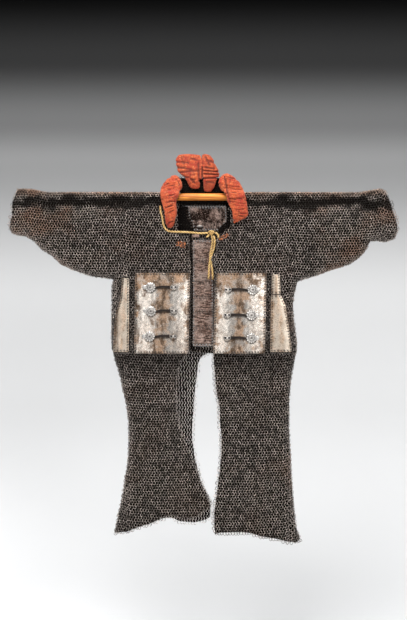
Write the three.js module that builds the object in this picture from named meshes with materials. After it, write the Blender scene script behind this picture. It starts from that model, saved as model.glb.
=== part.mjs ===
// Mail shirt with plates and a padded collar, hung on a wooden rod passed through both sleeves.
// Millimetres, +Z up. The front faces -Y and +X is to the viewer's right, the wearer's left.
// The origin is the centre of the rod, halfway along it.
import * as THREE from "three";

// Driving sizes
const ROD_RADIUS = 9;
const ROD_LENGTH = 850;
const MAIL_WALL = 3; // two rings of 1.3 mm wire where they cross
const SEAM_GAP = 0.3;
const RIDGE_ROUND = ROD_RADIUS + 0.6 + MAIL_WALL; // the mail's outside where it bends over the rod
const SIDE_ROUND = 22; // how far in from a closed edge the wall reaches its full depth
const PLATE_WALL = 1.6;
const PLATE_PROUD = 1; // a plate's face stands this far in front of the mail round it
const LACE_RADIUS = 2;
const WAIST_Z = -391;
const CHEST_FOOT_Z = -190;

// Materials
const finish = (color, roughness, metalness) =>
  new THREE.MeshStandardMaterial({ color, roughness, metalness, side: THREE.DoubleSide });
const IRON_RINGS = finish(0x4a4039, 0.55, 0.9);
const PLATE_IRON = finish(0xa3968a, 0.35, 0.95);
const CLASP_IRON = finish(0xb5ada3, 0.3, 0.95);
const PADDED_CLOTH = finish(0xb5452a, 0.9, 0);
const LACE_CORD = finish(0xdcc98a, 0.85, 0);
const STRAP_LEATHER = finish(0xb3642d, 0.7, 0);
const ROD_WOOD = finish(0xb8803f, 0.5, 0);

// Tables: the first list names the columns, and each later list is one row.
function table(columns, ...rows) {
  return rows.map((row) => Object.fromEntries(columns.map((name, i) => [name, row[i]])));
}

// The value of one column at a place along another, straight between rows and level beyond the ends.
function read(rows, along, at, column) {
  for (let i = 0; i + 1 < rows.length; i++) {
    const [a, b] = [rows[i], rows[i + 1]];
    const share = (at - a[along]) / (b[along] - a[along]);
    if (i === 0 && share < 0) return a[column];
    if (share >= 0 && share <= 1) return a[column] + (b[column] - a[column]) * share;
  }
  return rows[rows.length - 1][column];
}

const mix = (a, b, share) => a + (b - a) * share;
const spread = (from, to, steps) => Array.from({ length: steps + 1 }, (_, i) => mix(from, to, i / steps));

// Outline. The shoulder ridge lies over the rod and rises where the mail bunches past its ends.
const RIDGE = table(
  ["x", "z"],
  [-465, 21], [-431, 20.5], [-405, 15], [-392, RIDGE_ROUND], [392, RIDGE_ROUND], [430, 19.5], [441, 22], [456, 15],
);
const SLEEVE_RIGHT_BOTTOM = table(
  ["x", "z"],
  [-487, -82], [-478, -92.5], [-464, -97], [-445, -100], [-426, -111], [-408, -131], [-380, -148],
  [-359, -168], [-334, -181], [-310, -190], [-271, -202], [-247, -204], [-227, -207.5],
);
const SLEEVE_RIGHT_CUFF = table(
  ["z", "x"],
  [21, -465], [7, -472], [-14, -481], [-40, -480], [-61, -485], [-82, -487],
);
const SLEEVE_LEFT_BOTTOM = table(
  ["x", "z"],
  [484, -90], [476, -105], [456, -114], [435, -111], [414, -112], [411, -124], [401, -139], [387, -154],
  [364, -170], [336, -178], [308, -188], [289, -195], [271, -201], [248, -208], [235, -212],
);
const SLEEVE_LEFT_CUFF = table(
  ["z", "x"],
  [18, 449], [14, 456], [-1, 463], [-16, 470], [-34, 474], [-51, 481], [-75, 484], [-90, 484],
);
const SIDE_RIGHT = table(
  ["z", "x"],
  [-207.5, -227], [-219, -230], [-302, -232.5], [-350, -232], [-382, -230], [-407, -223], [-454, -210],
  [-515, -196.5], [-558, -190], [-608, -189], [-652, -191], [-699, -198], [-752, -206.5], [-796, -216.5],
  [-841, -225],
);
const SIDE_LEFT = table(
  ["z", "x"],
  [-212, 235], [-243, 226.5], [-268, 223], [-303, 225], [-338, 230], [-364, 233.5], [-384, 232], [-417, 225.5],
  [-451, 219], [-508, 214], [-575, 214], [-642, 217], [-709, 220.5], [-776, 225.5], [-826, 232], [-856, 242],
);

// The edges where front and back are one wall bent round, each from the cuff to the hem.
const point = ({ x, z }) => ({ x, z });
const CLOSED_EDGES = [
  { turn: 1, points: [...SLEEVE_RIGHT_BOTTOM, ...SIDE_RIGHT.slice(1)].map(point) },
  { turn: -1, points: [...SLEEVE_LEFT_BOTTOM, ...SIDE_LEFT.slice(1)].map(point) },
];

// How far a place lies from the nearest closed edge, and the direction from that edge to it.
function fromEdge(x, z) {
  let best = { distance: Infinity };
  for (const { turn, points } of CLOSED_EDGES) {
    for (let i = 0; i + 1 < points.length; i++) {
      const [a, b] = [points[i], points[i + 1]];
      const [dx, dz] = [b.x - a.x, b.z - a.z];
      const length = Math.hypot(dx, dz);
      const share = THREE.MathUtils.clamp(((x - a.x) * dx + (z - a.z) * dz) / length ** 2, 0, 1);
      const [offX, offZ] = [x - a.x - dx * share, z - a.z - dz * share];
      const distance = Math.hypot(offX, offZ);
      if (distance >= best.distance) continue;
      const onEdge = distance < 1e-3;
      best = {
        distance: onEdge ? 0 : distance,
        inX: onEdge ? (-dz / length) * turn : offX / distance,
        inZ: onEdge ? (dx / length) * turn : offZ / distance,
      };
    }
  }
  return best;
}

// How far the outside of the mail stands from the rod's plane, by the drop below the ridge.
const FRONT_HANG = table(
  ["drop", "depth"],
  [RIDGE_ROUND, RIDGE_ROUND], [24, 13.5], [40, 17], [60, 20.5], [100, 23.5], [200, 25], [410, 25], [560, 22],
  [900, 17],
);
const BACK_HANG = table(
  ["drop", "depth"],
  [RIDGE_ROUND, RIDGE_ROUND], [60, 14], [150, 16.5], [410, 18], [560, 16], [900, 13],
);

// Folds: soft troughs between two places, negative depths being ridges.
const FRONT_FOLDS = table(
  ["x1", "z1", "x2", "z2", "reach", "depth"],
  [-408, -19, -200, -19, 9, 6], // tucked in under the rod, right sleeve
  [206, -17, 392, -17, 9, 6], // the same, left sleeve
  [-206, -140, -224, -202, 9, 6], // armpit creases
  [214, -142, 231, -204, 9, 6],
  [402, -22, 436, -42, 8, 6], // diagonal above the left cuff
  [-440, -10, -455, -70, 9, 5], // bunched right cuff
  [-300, -80, -420, -66, 12, 3.5], // long ripples along the sleeves
  [290, -92, 400, -74, 12, 3.5],
  [-262, -128, -350, -120, 12, 3],
  [266, -134, 352, -128, 12, 3],
  [-160, -420, -146, -800, 17, 4], // hanging folds of the skirt
  [-92, -440, -112, -780, 15, 3],
  [96, -410, 84, -820, 16, 4],
  [168, -420, 176, -840, 17, 4],
);
const BACK_FOLDS = table(
  ["x1", "z1", "x2", "z2", "reach", "depth"],
  [-400, -26, -230, -30, 14, 3],
  [235, -28, 395, -24, 14, 3],
  [-205, -130, -223, -200, 10, 5],
  [212, -132, 230, -205, 10, 5],
  [-120, -120, -132, -370, 18, 3],
  [110, -110, 126, -370, 18, 3],
  [-140, -420, -150, -800, 18, 4],
  [-62, -440, -50, -760, 15, 3],
  [120, -420, 130, -830, 18, 4],
);

function foldDepth(folds, x, z) {
  return folds.reduce((sum, { x1, z1, x2, z2, reach, depth }) => {
    const [dx, dz] = [x2 - x1, z2 - z1];
    const share = THREE.MathUtils.clamp(((x - x1) * dx + (z - z1) * dz) / (dx ** 2 + dz ** 2), 0, 1);
    const distance = Math.hypot(x - x1 - dx * share, z - z1 - dz * share);
    return sum + depth * Math.exp(-((distance / reach) ** 2));
  }, 0);
}

// A quarter round: 0 at the edge, 1 once the place is a full radius in.
const roundOff = (inward) => Math.sqrt(1 - (1 - Math.min(Math.max(inward, 0), 1)) ** 2);

const FRONT = { sign: -1, hang: FRONT_HANG, folds: FRONT_FOLDS };
const BACK = { sign: 1, hang: BACK_HANG, folds: BACK_FOLDS };

// A point of the hanging shirt's wall. inset 0 is its outside, and an inset of the wall is its inside.
function onShirt(face, x, z, inset = 0, seam = SEAM_GAP / 2) {
  const drop = Math.max(read(RIDGE, "x", x, "z") - z, 0);
  const edge = fromEdge(x, z);
  const inFromEdge = inset * Math.max(0, 1 - edge.distance / SIDE_ROUND);
  const downFromRidge = inset * Math.max(0, 1 - drop / RIDGE_ROUND);
  const hang =
    drop < RIDGE_ROUND
      ? (RIDGE_ROUND - inset) * roundOff(drop / RIDGE_ROUND)
      : read(face.hang, "drop", drop, "depth") - foldDepth(face.folds, x, z) - inset;
  const depth = hang * roundOff(edge.distance / SIDE_ROUND);
  return new THREE.Vector3(
    x + edge.inX * inFromEdge,
    face.sign * (depth + seam),
    z + edge.inZ * inFromEdge - downFromRidge,
  );
}

// A closed solid from an outer and an inner grid of points, its rims joined, and its faces turned out.
function wall(outer, inner, around = false) {
  const [rows, columns] = [outer.length, outer[0].length];
  const points = [...outer.flat(), ...inner.flat()];
  const index = [];
  const quad = (a, b, c, d) => index.push(a, b, c, a, c, d);
  const at = (i, j, inside = 0) => inside * rows * columns + i * columns + (j % columns);
  const lastColumn = around ? columns : columns - 1;
  for (let i = 0; i + 1 < rows; i++) {
    for (let j = 0; j < lastColumn; j++) {
      quad(at(i, j), at(i, j + 1), at(i + 1, j + 1), at(i + 1, j));
      quad(at(i, j, 1), at(i + 1, j, 1), at(i + 1, j + 1, 1), at(i, j + 1, 1));
    }
    if (around) continue;
    quad(at(i, 0), at(i + 1, 0), at(i + 1, 0, 1), at(i, 0, 1));
    quad(at(i, lastColumn), at(i, lastColumn, 1), at(i + 1, lastColumn, 1), at(i + 1, lastColumn));
  }
  for (let j = 0; j < lastColumn; j++) {
    quad(at(0, j), at(0, j, 1), at(0, j + 1, 1), at(0, j + 1));
    quad(at(rows - 1, j), at(rows - 1, j + 1), at(rows - 1, j + 1, 1), at(rows - 1, j, 1));
  }
  return solidFrom(points, index);
}

// A closed solid from rings of points, each end closed by a fan round its middle.
function loft(rings) {
  const count = rings[0].length;
  const points = rings.flat();
  const index = [];
  for (let i = 0; i + 1 < rings.length; i++) {
    for (let j = 0; j < count; j++) {
      const [a, b] = [i * count + j, i * count + ((j + 1) % count)];
      index.push(a, b, b + count, a, b + count, a + count);
    }
  }
  for (const [ring, first] of [[rings[0], 0], [rings[rings.length - 1], (rings.length - 1) * count]]) {
    const middle = ring.reduce((sum, p) => sum.add(p), new THREE.Vector3()).divideScalar(count);
    points.push(middle);
    for (let j = 0; j < count; j++) {
      const [a, b] = [first + j, first + ((j + 1) % count)];
      index.push(points.length - 1, ...(first ? [a, b] : [b, a]));
    }
  }
  return solidFrom(points, index);
}

function solidFrom(points, index) {
  let volume = 0;
  for (let i = 0; i < index.length; i += 3) {
    const [a, b, c] = [points[index[i]], points[index[i + 1]], points[index[i + 2]]];
    volume += a.dot(b.clone().cross(c));
  }
  if (volume < 0) index.reverse();
  const geometry = new THREE.BufferGeometry().setFromPoints(points);
  geometry.setIndex(index);
  geometry.computeVertexNormals();
  return geometry;
}

const shirt = new THREE.Group();
function add(name, geometry, material) {
  const mesh = new THREE.Mesh(geometry, material);
  mesh.name = name;
  shirt.add(mesh);
}

// Places in from an edge that follow its quarter round.
const quarterSteps = (radius, steps) =>
  spread(0, Math.PI / 2, steps).map((angle) => radius * (1 - Math.cos(angle)));
const RIDGE_STEPS = quarterSteps(RIDGE_ROUND, 4);
const SIDE_STEPS = quarterSteps(SIDE_ROUND, 4);

// Sleeves: one tube each, from the shoulder seam to the open cuff.
const SLEEVE_STEPS = 11;
const UNDER_ROD = [21, 32, 46];

function sleeveHeights(top, bottom) {
  const upper = [...RIDGE_STEPS, ...UNDER_ROD].map((drop) => top - drop);
  const lower = SIDE_STEPS.slice(0, -1).map((rise) => bottom + rise).reverse();
  const between = spread(upper[upper.length - 1], bottom + SIDE_ROUND, 4).slice(1);
  return [...upper, ...between, ...lower];
}

function sleeve(seamX, cuff, bottom) {
  const cuffTop = cuff[0].z;
  const cuffBottom = cuff[cuff.length - 1].z;
  const cuffPlaces = sleeveHeights(cuffTop, cuffBottom).map((z) => read(cuff, "z", z, "x"));
  const station = (share, inset) => {
    const half = (face) =>
      cuffPlaces.map((cuffX, j) => {
        const x = mix(seamX, cuffX, share);
        const heights = sleeveHeights(read(RIDGE, "x", x, "z"), read(bottom, "x", x, "z"));
        const place = onShirt(face, x, heights[j], inset, 0);
        if (share === 0) place.x = seamX;
        return place;
      });
    return [...half(FRONT), ...half(BACK).slice(1, -1).reverse()];
  };
  const shares = spread(0, 1, SLEEVE_STEPS);
  return wall(
    shares.map((share) => station(share, 0)),
    shares.map((share) => station(share, MAIL_WALL)),
    true,
  );
}

// A panel of the body: rows of places from top to bottom, each between two edges.
// outward is -1 where the panel's closed side is its left edge and 1 where it is its right edge.
function panel({ face, heights, left, right, outward, columns, hem, inset = MAIL_WALL, place = onShirt }) {
  const lowest = heights[heights.length - 1];
  const grid = (depth) =>
    heights.map((z, i) => {
      const [from, to] = [left(z), right(z)];
      const side = Math.min(SIDE_ROUND, (to - from) * 0.7);
      const near = SIDE_STEPS.map((step) => (step / SIDE_ROUND) * side);
      const across = {
        "-1": [...near.map((step) => from + step), ...spread(from + side, to, columns).slice(1)],
        0: spread(from, to, columns),
        1: [...spread(from, to - side, columns).slice(0, -1), ...near.map((step) => to - step).reverse()],
      }[outward];
      return across.map((x) => {
        const drop = hem ? ((z - heights[0]) / (lowest - heights[0])) * (read(hem, "x", x, "z") - lowest) : 0;
        return place(face, x, z + drop, depth);
      });
    });
  return wall(grid(0), grid(inset));
}

const edgeOf = (rows, shift = 0) => (z) => read(rows, "z", z, "x") + shift;
const at = (x) => () => x;

// Fronts of the chest. The neck and the open front are one edge, listed downwards.
const FRONT_EDGE_RIGHT = table(
  ["z", "x"],
  [RIDGE_ROUND, -62], [-30, -66], [-87, -68], [-89.5, -37], [-133, -37], [CHEST_FOOT_Z, -34],
);
const FRONT_EDGE_LEFT = table(
  ["z", "x"],
  [RIDGE_ROUND, 56], [-30, 64], [-72, 70], [-88, 48], [-112, 33.5], [-168, 26], [CHEST_FOOT_Z, 31],
);
const CHEST_HEIGHTS = [
  ...RIDGE_STEPS.map((drop) => RIDGE_ROUND - drop), -9, -20, -34, -52, -72, -87, -89.5, -112, -133, -160,
  CHEST_FOOT_Z,
];

function chests() {
  add(
    "chest_right",
    panel({
      face: FRONT, heights: CHEST_HEIGHTS, left: at(-227), right: edgeOf(FRONT_EDGE_RIGHT),
      outward: -1, columns: 7,
    }),
    IRON_RINGS,
  );
  add(
    "chest_left",
    panel({
      face: FRONT, heights: CHEST_HEIGHTS, left: edgeOf(FRONT_EDGE_LEFT), right: at(235),
      outward: 1, columns: 7,
    }),
    IRON_RINGS,
  );
}

// The back in two halves, with room for the neck plate and the column of lames down the spine.
const SPINE = { left: -29, right: 24, top: -107, bottom: -373 };
const NECK_PLATE_EDGES = table(
  ["z", "left", "right"],
  [-23, -40.5, 57], [-49, -39.5, 58], [-62, -31, 57], [-75, -28, 41], [-84, -27, 36],
);
const CENTRE_X = -2;
const BACK_EDGE_RIGHT = table(
  ["z", "x"],
  [RIDGE_ROUND, -62], [-22, -62], [-22.6, -41], [-49, -40], [-62, -31.5], [-84, -27.5], [-84.6, CENTRE_X],
  [SPINE.top + 0.4, CENTRE_X], [SPINE.top - 0.2, SPINE.left - 0.4],
  [SPINE.bottom + 0.2, SPINE.left - 0.4], [SPINE.bottom - 0.4, CENTRE_X], [WAIST_Z, CENTRE_X],
);
const BACK_EDGE_LEFT = table(
  ["z", "x"],
  [RIDGE_ROUND, 56], [-22, 56], [-22.6, 57.6], [-49, 58.6], [-62, 57.6], [-75, 41.6], [-84, 36.6],
  [-84.6, CENTRE_X + SEAM_GAP], [SPINE.top + 0.4, CENTRE_X + SEAM_GAP], [SPINE.top - 0.2, SPINE.right + 0.4],
  [SPINE.bottom + 0.2, SPINE.right + 0.4], [SPINE.bottom - 0.4, CENTRE_X + SEAM_GAP],
  [WAIST_Z, CENTRE_X + SEAM_GAP],
);

function bodySide(rows, seamX) {
  return (z) => (z > rows[0].z ? seamX : read(rows, "z", z, "x"));
}

function backs() {
  const upper = RIDGE_STEPS.map((drop) => RIDGE_ROUND - drop);
  const lower = [-145, -185, -208, -225, -262, -300, -338];
  const rows = (edge) => [
    ...upper,
    ...edge.slice(1, -3).map((row) => row.z),
    ...lower,
    ...edge.slice(-3).map((row) => row.z),
  ];
  add(
    "back_right",
    panel({
      face: BACK, heights: rows(BACK_EDGE_RIGHT), left: bodySide(SIDE_RIGHT, -227),
      right: edgeOf(BACK_EDGE_RIGHT), outward: -1, columns: 5,
    }),
    IRON_RINGS,
  );
  add(
    "back_left",
    panel({
      face: BACK, heights: rows(BACK_EDGE_LEFT), left: edgeOf(BACK_EDGE_LEFT),
      right: bodySide(SIDE_LEFT, 235), outward: 1, columns: 5,
    }),
    IRON_RINGS,
  );
}

// Mail beside the front plates: a strip between two plates, and the flank that bends round the side.
const PLATE_TOP_Z = CHEST_FOOT_Z - 0.4;
const WAIST_MAIL_TOP_Z = CHEST_FOOT_Z - SEAM_GAP;
const BIG_PLATE_RIGHT = table(["z", "left", "right"], [PLATE_TOP_Z, -171.5, -35], [-390.5, -174, -39]);
const BIG_PLATE_LEFT = table(["z", "left", "right"], [PLATE_TOP_Z, 30, 156], [-390.5, 22.5, 152]);
const SIDE_PLATE_RIGHT = table(
  ["z", "left", "right"],
  [-203.4, -204, -186.5], [-243, -207, -186.5], [-264, -210, -186.5], [-285, -219, -186.5], [-320, -223.5, -187],
  [-387, -226.5, -187.5],
);
const SIDE_PLATE_LEFT_UPPER = table(["z", "left", "right"], [-194, 169, 189], [-243, 167.5, 191]);
const SIDE_PLATE_LEFT_LOWER = table(
  ["z", "left", "right"],
  [-245.5, 166.5, 191.5], [-268, 166.5, 202], [-320, 166, 211], [-387, 165, 219.5],
);
const plateEdge = (rows, side, shift) => (z) => read(rows, "z", z, side) + shift;
const FLANK_GAP = 1.3; // the flank's inside leans towards the plate beside it
const FLANK_RIGHT_EDGE = table(
  ["z", "x"],
  [WAIST_MAIL_TOP_Z, -186.1], [-202.8, -186.1],
  ...SIDE_PLATE_RIGHT.map(({ z, left }) => [z, left - FLANK_GAP]),
);
const FLANK_LEFT_EDGE = table(
  ["z", "x"],
  [WAIST_MAIL_TOP_Z, 169], [-193.5, 169],
  ...[...SIDE_PLATE_LEFT_UPPER, ...SIDE_PLATE_LEFT_LOWER].map(({ z, right }) => [z, right + FLANK_GAP]),
);

function waistMail() {
  const stripRight = spread(WAIST_MAIL_TOP_Z, WAIST_Z, 7);
  const stripLeft = [WAIST_MAIL_TOP_Z, -215, -243, -245.5, -268, -294, -320, -355, WAIST_Z];
  const flankRight = [WAIST_MAIL_TOP_Z, -202.8, -203.4, -219, -243, -264, -285, -320, -352, WAIST_Z];
  const flankLeft = [WAIST_MAIL_TOP_Z, -193.5, -194, -212, -243, -245.5, -268, -320, -364, WAIST_Z];
  const leftSidePlates = [...SIDE_PLATE_LEFT_UPPER, ...SIDE_PLATE_LEFT_LOWER];
  add(
    "strip_right",
    panel({
      face: FRONT, heights: stripRight, left: plateEdge(SIDE_PLATE_RIGHT, "right", 0.7),
      right: plateEdge(BIG_PLATE_RIGHT, "left", -0.4), outward: 0, columns: 2,
    }),
    IRON_RINGS,
  );
  add(
    "strip_left",
    panel({
      face: FRONT, heights: stripLeft, left: plateEdge(BIG_PLATE_LEFT, "right", 0.4),
      right: plateEdge(leftSidePlates, "left", -0.6), outward: 0, columns: 2,
    }),
    IRON_RINGS,
  );
  add(
    "flank_right",
    panel({
      face: FRONT, heights: flankRight, left: bodySide(SIDE_RIGHT, -227),
      right: edgeOf(FLANK_RIGHT_EDGE), outward: -1, columns: 1,
    }),
    IRON_RINGS,
  );
  add(
    "flank_left",
    panel({
      face: FRONT, heights: flankLeft, left: edgeOf(FLANK_LEFT_EDGE),
      right: bodySide(SIDE_LEFT, 235), outward: 1, columns: 1,
    }),
    IRON_RINGS,
  );
}

// Skirt: two legs, each a front and a back wall joined down its outer side and open at the other.
const SKIRT_TOP_Z = WAIST_Z - SEAM_GAP;
const SKIRT_FRONT_RIGHT_EDGE = table(
  ["z", "x"],
  [-391, -39], [-412, -58], [-450, -66], [-530, -66], [-580, -58], [-640, -34], [-686, -13], [-719, -5],
  [-742, 8], [-765, 18], [-810, 19],
);
const SKIRT_BACK_RIGHT_EDGE = table(
  ["z", "x"],
  [-391, 12], [-401, -5.5], [-418, -10.5], [-458, -15.5], [-498, -20.5], [-532, -22], [-572, -25.5], [-608, -25.5],
  [-652, -19], [-686, -10.5], [-719, -2], [-742, 11], [-765, 21], [-810, 19],
);
const SKIRT_LEFT_EDGE = table(
  ["z", "x"],
  [-391, 19.5], [-418, 21], [-458, 24.5], [-491, 28], [-525, 35], [-565, 36], [-598, 40], [-642, 40], [-679, 36],
  [-719, 31], [-752, 26.5], [-790, 22], [-826, 22], [-850, 26],
);
const HEM_RIGHT_FRONT = table(
  ["x", "z"],
  [-224, -841], [-193, -840], [-173, -831], [-133, -818], [-102, -801], [-75, -797], [-47, -808], [-18, -801],
  [-4, -787], [19, -772],
);
const HEM_RIGHT_BACK = table(
  ["x", "z"],
  [-224, -841], [-193, -840], [-173, -831], [-133, -821], [-103, -808], [-86, -804.5], [-59, -816], [-26, -819],
  [-2, -814], [18, -804],
);
const HEM_LEFT = table(
  ["x", "z"],
  [24, -846], [48, -841], [91, -840], [118, -843], [142, -851], [175, -856], [209, -864], [232, -866], [242, -857],
);

function skirts() {
  const heights = (lowest) => [...spread(SKIRT_TOP_Z, -470, 3), ...spread(-470, lowest, 11).slice(1)];
  const right = (edge, hem, face, name) =>
    add(
      name,
      panel({
        face, heights: heights(-810), left: edgeOf(SIDE_RIGHT), right: edgeOf(edge), outward: -1, columns: 5, hem,
      }),
      IRON_RINGS,
    );
  const left = (face, shift, name) =>
    add(
      name,
      panel({
        face, heights: heights(-850), left: edgeOf(SKIRT_LEFT_EDGE, shift), right: edgeOf(SIDE_LEFT),
        outward: 1, columns: 5, hem: HEM_LEFT,
      }),
      IRON_RINGS,
    );
  right(SKIRT_FRONT_RIGHT_EDGE, HEM_RIGHT_FRONT, FRONT, "skirt_front_right");
  right(SKIRT_BACK_RIGHT_EDGE, HEM_RIGHT_BACK, BACK, "skirt_back_right");
  left(FRONT, 0, "skirt_front_left");
  left(BACK, 3, "skirt_back_left");
}

// Plates: thin iron walls on the mail's own surface, those in front bowed across their width.
function bowed(edges, crown) {
  return (face, x, z, inset) => {
    const [left, right] = [read(edges, "z", z, "left"), read(edges, "z", z, "right")];
    const across = THREE.MathUtils.clamp((2 * (x - left)) / (right - left) - 1, -1, 1);
    const place = onShirt(face, x, z);
    place.y += face.sign * (PLATE_PROUD + crown * (1 - across ** 2) - inset);
    return place;
  };
}

const CORNER = 3;
function plate(edges, crown, columns, between) {
  const top = edges[0].z;
  const bottom = edges[edges.length - 1].z;
  const heights = [top, top - CORNER, ...between, bottom + CORNER, bottom];
  const inward = (z) => (z > top - 1 || z < bottom + 1 ? CORNER * 0.7 : 0);
  return panel({
    face: FRONT, heights, outward: 0, columns, inset: PLATE_WALL, place: bowed(edges, crown),
    left: (z) => read(edges, "z", z, "left") + inward(z),
    right: (z) => read(edges, "z", z, "right") - inward(z),
  });
}

const BIG_CROWN = 7;
const SIDE_CROWN = 1.5;
function frontPlates() {
  const bigRows = spread(-235, -345, 2);
  const tableRows = (edges) => edges.slice(1, -1).map((row) => row.z);
  add("plate_front_right", plate(BIG_PLATE_RIGHT, BIG_CROWN, 8, bigRows), PLATE_IRON);
  add("plate_front_left", plate(BIG_PLATE_LEFT, BIG_CROWN, 8, bigRows), PLATE_IRON);
  add("plate_side_right", plate(SIDE_PLATE_RIGHT, SIDE_CROWN, 4, tableRows(SIDE_PLATE_RIGHT)), PLATE_IRON);
  add("plate_side_left_upper", plate(SIDE_PLATE_LEFT_UPPER, SIDE_CROWN, 3, [-218]), PLATE_IRON);
  const lowerRows = tableRows(SIDE_PLATE_LEFT_LOWER);
  add("plate_side_left_lower", plate(SIDE_PLATE_LEFT_LOWER, SIDE_CROWN, 4, lowerRows), PLATE_IRON);
}

// Back plates: a shield-shaped neck plate, then overlapping lames down the spine.
const LAME_TOPS = [SPINE.top - 0.6, -160, -212, -249, -287, -326];
const LAME_OVERLAP = 5;
const LAME_TILT = 2.6; // how much nearer the back a lame's foot lies than its head
function backPlates() {
  const backPlace = (lift) => (face, x, z, inset) => {
    const place = onShirt(face, x, z, 0, 0);
    place.y += lift(z) - inset;
    return place;
  };
  const neck = NECK_PLATE_EDGES;
  add(
    "neck_plate",
    panel({
      face: BACK, heights: [...spread(-23, -62, 3), -75, -84], outward: 0, columns: 5, inset: PLATE_WALL,
      left: plateEdge(neck, "left", 0), right: plateEdge(neck, "right", 0), place: backPlace(() => 0),
    }),
    PLATE_IRON,
  );
  LAME_TOPS.forEach((top, i) => {
    const next = LAME_TOPS[i + 1];
    const bottom = next === undefined ? SPINE.bottom + 0.6 : next - LAME_OVERLAP;
    const lift = (z) => (LAME_TILT * (top - z)) / (top - bottom) - 1;
    add(
      `spine_lame_${i + 1}`,
      panel({
        face: BACK, heights: spread(top, bottom, 2), outward: 0, columns: 4, inset: PLATE_WALL,
        left: at(SPINE.left), right: at(SPINE.right), place: backPlace(lift),
      }),
      PLATE_IRON,
    );
  });
}

// The band of mail that stands up behind the rod and carries the padded collar.
const STAND_FOOT_Z = -22;
const STAND_TOP_Z = 52;
const standFace = (z) => ROD_RADIUS + 0.6 + Math.max(0, z - 20) * 0.08;
function neckStand() {
  add(
    "neck_stand",
    panel({
      face: BACK, heights: spread(STAND_FOOT_Z, STAND_TOP_Z, 6), outward: 0, columns: 6,
      left: at(-61.7), right: at(55.7),
      place: (_, x, z, inset) => new THREE.Vector3(x, standFace(z) + MAIL_WALL - inset, z),
    }),
    IRON_RINGS,
  );
}

// A ring of a padded section, between two places across and two depths, with soft corners.
const RING_STEPS = 14;
function paddedRing(left, right, front, back, z) {
  const soften = (value) => Math.sign(value) * Math.abs(value) ** 0.75;
  return spread(0, 2 * Math.PI, RING_STEPS)
    .slice(0, -1)
    .map((angle) => {
      const across = mix(left, right, 0.5 + soften(Math.cos(angle)) / 2);
      const depth = mix(front, back, 0.5 + soften(Math.sin(angle)) / 2);
      return new THREE.Vector3(across, depth, z);
    });
}

// Padded collar: two halves stand behind the neck, and two lobes come over the rod and down the front.
const COLLAR_STAND_RIGHT = table(
  ["z", "left", "right", "pad"],
  [109, -66, -12, 4], [106, -70, -7, 9], [94, -73, -6, 13], [80, -69, -6, 14], [66, -66, -6, 14],
  [57, -57, -8, 13], [46, -48, -8.5, 13], [35, -42.5, -8.5, 12], [26, -37, -9, 10], [21.5, -30, -11, 5],
);
const COLLAR_STAND_LEFT = table(
  ["z", "left", "right", "pad"],
  [108, -2, 8, 4], [105, -5.5, 17, 9], [95, -5.5, 24, 13], [84, -5.5, 28, 14], [71, -5.5, 33, 14],
  [63, -5, 37, 13], [55, -3, 37, 13], [47, -2.5, 33, 13], [36, -2.5, 28, 12], [26, -2, 23.5, 10], [18, 0, 8, 5],
);
const COLLAR_LOBE_RIGHT = table(
  ["z", "left", "right", "pad"],
  [55.5, -77, -69, 5], [50, -87, -61.5, 14], [40, -97, -56, 21], [31, -103.5, -53.5, 24], [21, -108.5, -55, 25],
  [13, -109, -60.5, 25], [2, -108.5, -61.5, 24], [-12, -106, -68, 23], [-25, -102.5, -67.5, 22],
  [-36, -99.5, -66.5, 22], [-48, -98, -68, 21], [-59, -97, -72, 19], [-72, -94.5, -75, 14], [-80, -89, -80.5, 6],
);
const COLLAR_LOBE_LEFT = table(
  ["z", "left", "right", "pad"],
  [60, 52, 62, 5], [53, 43.5, 71, 14], [46, 37, 81.5, 20], [36, 35, 89.5, 24], [27, 37.5, 94, 25],
  [17, 42, 98.5, 25], [9, 54, 101, 25], [-2, 57, 103, 24], [-15, 60, 105.5, 23], [-26, 64, 108, 22],
  [-35, 67.5, 109.5, 22], [-46, 70, 111, 20], [-54, 70.5, 105, 17], [-60, 71, 91, 12], [-67, 72, 80, 6],
);
const PAD_REST = 1;

// Where a lobe's back rests: on the mail below the ridge, rolled over the ridge, and upright above it.
function lobeRest(x, z) {
  const clear = RIDGE_ROUND + PAD_REST;
  if (z > clear) return 0.1 * (z - clear);
  const overRidge = -Math.sqrt(clear ** 2 - Math.max(z, 0) ** 2);
  return z > 0 ? overRidge : Math.min(onShirt(FRONT, x, z).y - PAD_REST, overRidge);
}

function collar() {
  const stand = (rows) =>
    loft(rows.map(({ z, left, right, pad }) => {
      const back = standFace(z) - SEAM_GAP;
      return paddedRing(left, right, back - pad, back, z);
    }));
  const overRidge = quarterSteps(RIDGE_ROUND + PAD_REST, 4).map((drop) => RIDGE_ROUND + PAD_REST - drop);
  const lobe = (rows) => {
    const heights = [...rows.map((row) => row.z).filter((z) => z < 0 || z > 15), ...overRidge];
    return loft(heights.sort((a, b) => b - a).map((z) => {
      const [left, right, pad] = ["left", "right", "pad"].map((column) => read(rows, "z", z, column));
      const back = Math.min(lobeRest(left, z), lobeRest((left + right) / 2, z), lobeRest(right, z));
      return paddedRing(left, right, back - pad, back, z);
    }));
  };
  add("collar_stand_right", stand(COLLAR_STAND_RIGHT), PADDED_CLOTH);
  add("collar_stand_left", stand(COLLAR_STAND_LEFT), PADDED_CLOTH);
  add("collar_lobe_right", lobe(COLLAR_LOBE_RIGHT), PADDED_CLOTH);
  add("collar_lobe_left", lobe(COLLAR_LOBE_LEFT), PADDED_CLOTH);
}

// A flat shape, drawn in x and z, bent onto a curved face and standing out from it.
function onFace(geometry, faceY, lift, x, z) {
  const position = geometry.getAttribute("position");
  for (let i = 0; i < position.count; i++) {
    const [px, pz, out] = [position.getX(i) + x, position.getY(i) + z, position.getZ(i)];
    position.setXYZ(i, px, faceY(px, pz) - lift - out, pz);
  }
  geometry.computeVertexNormals();
  return geometry;
}

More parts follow.
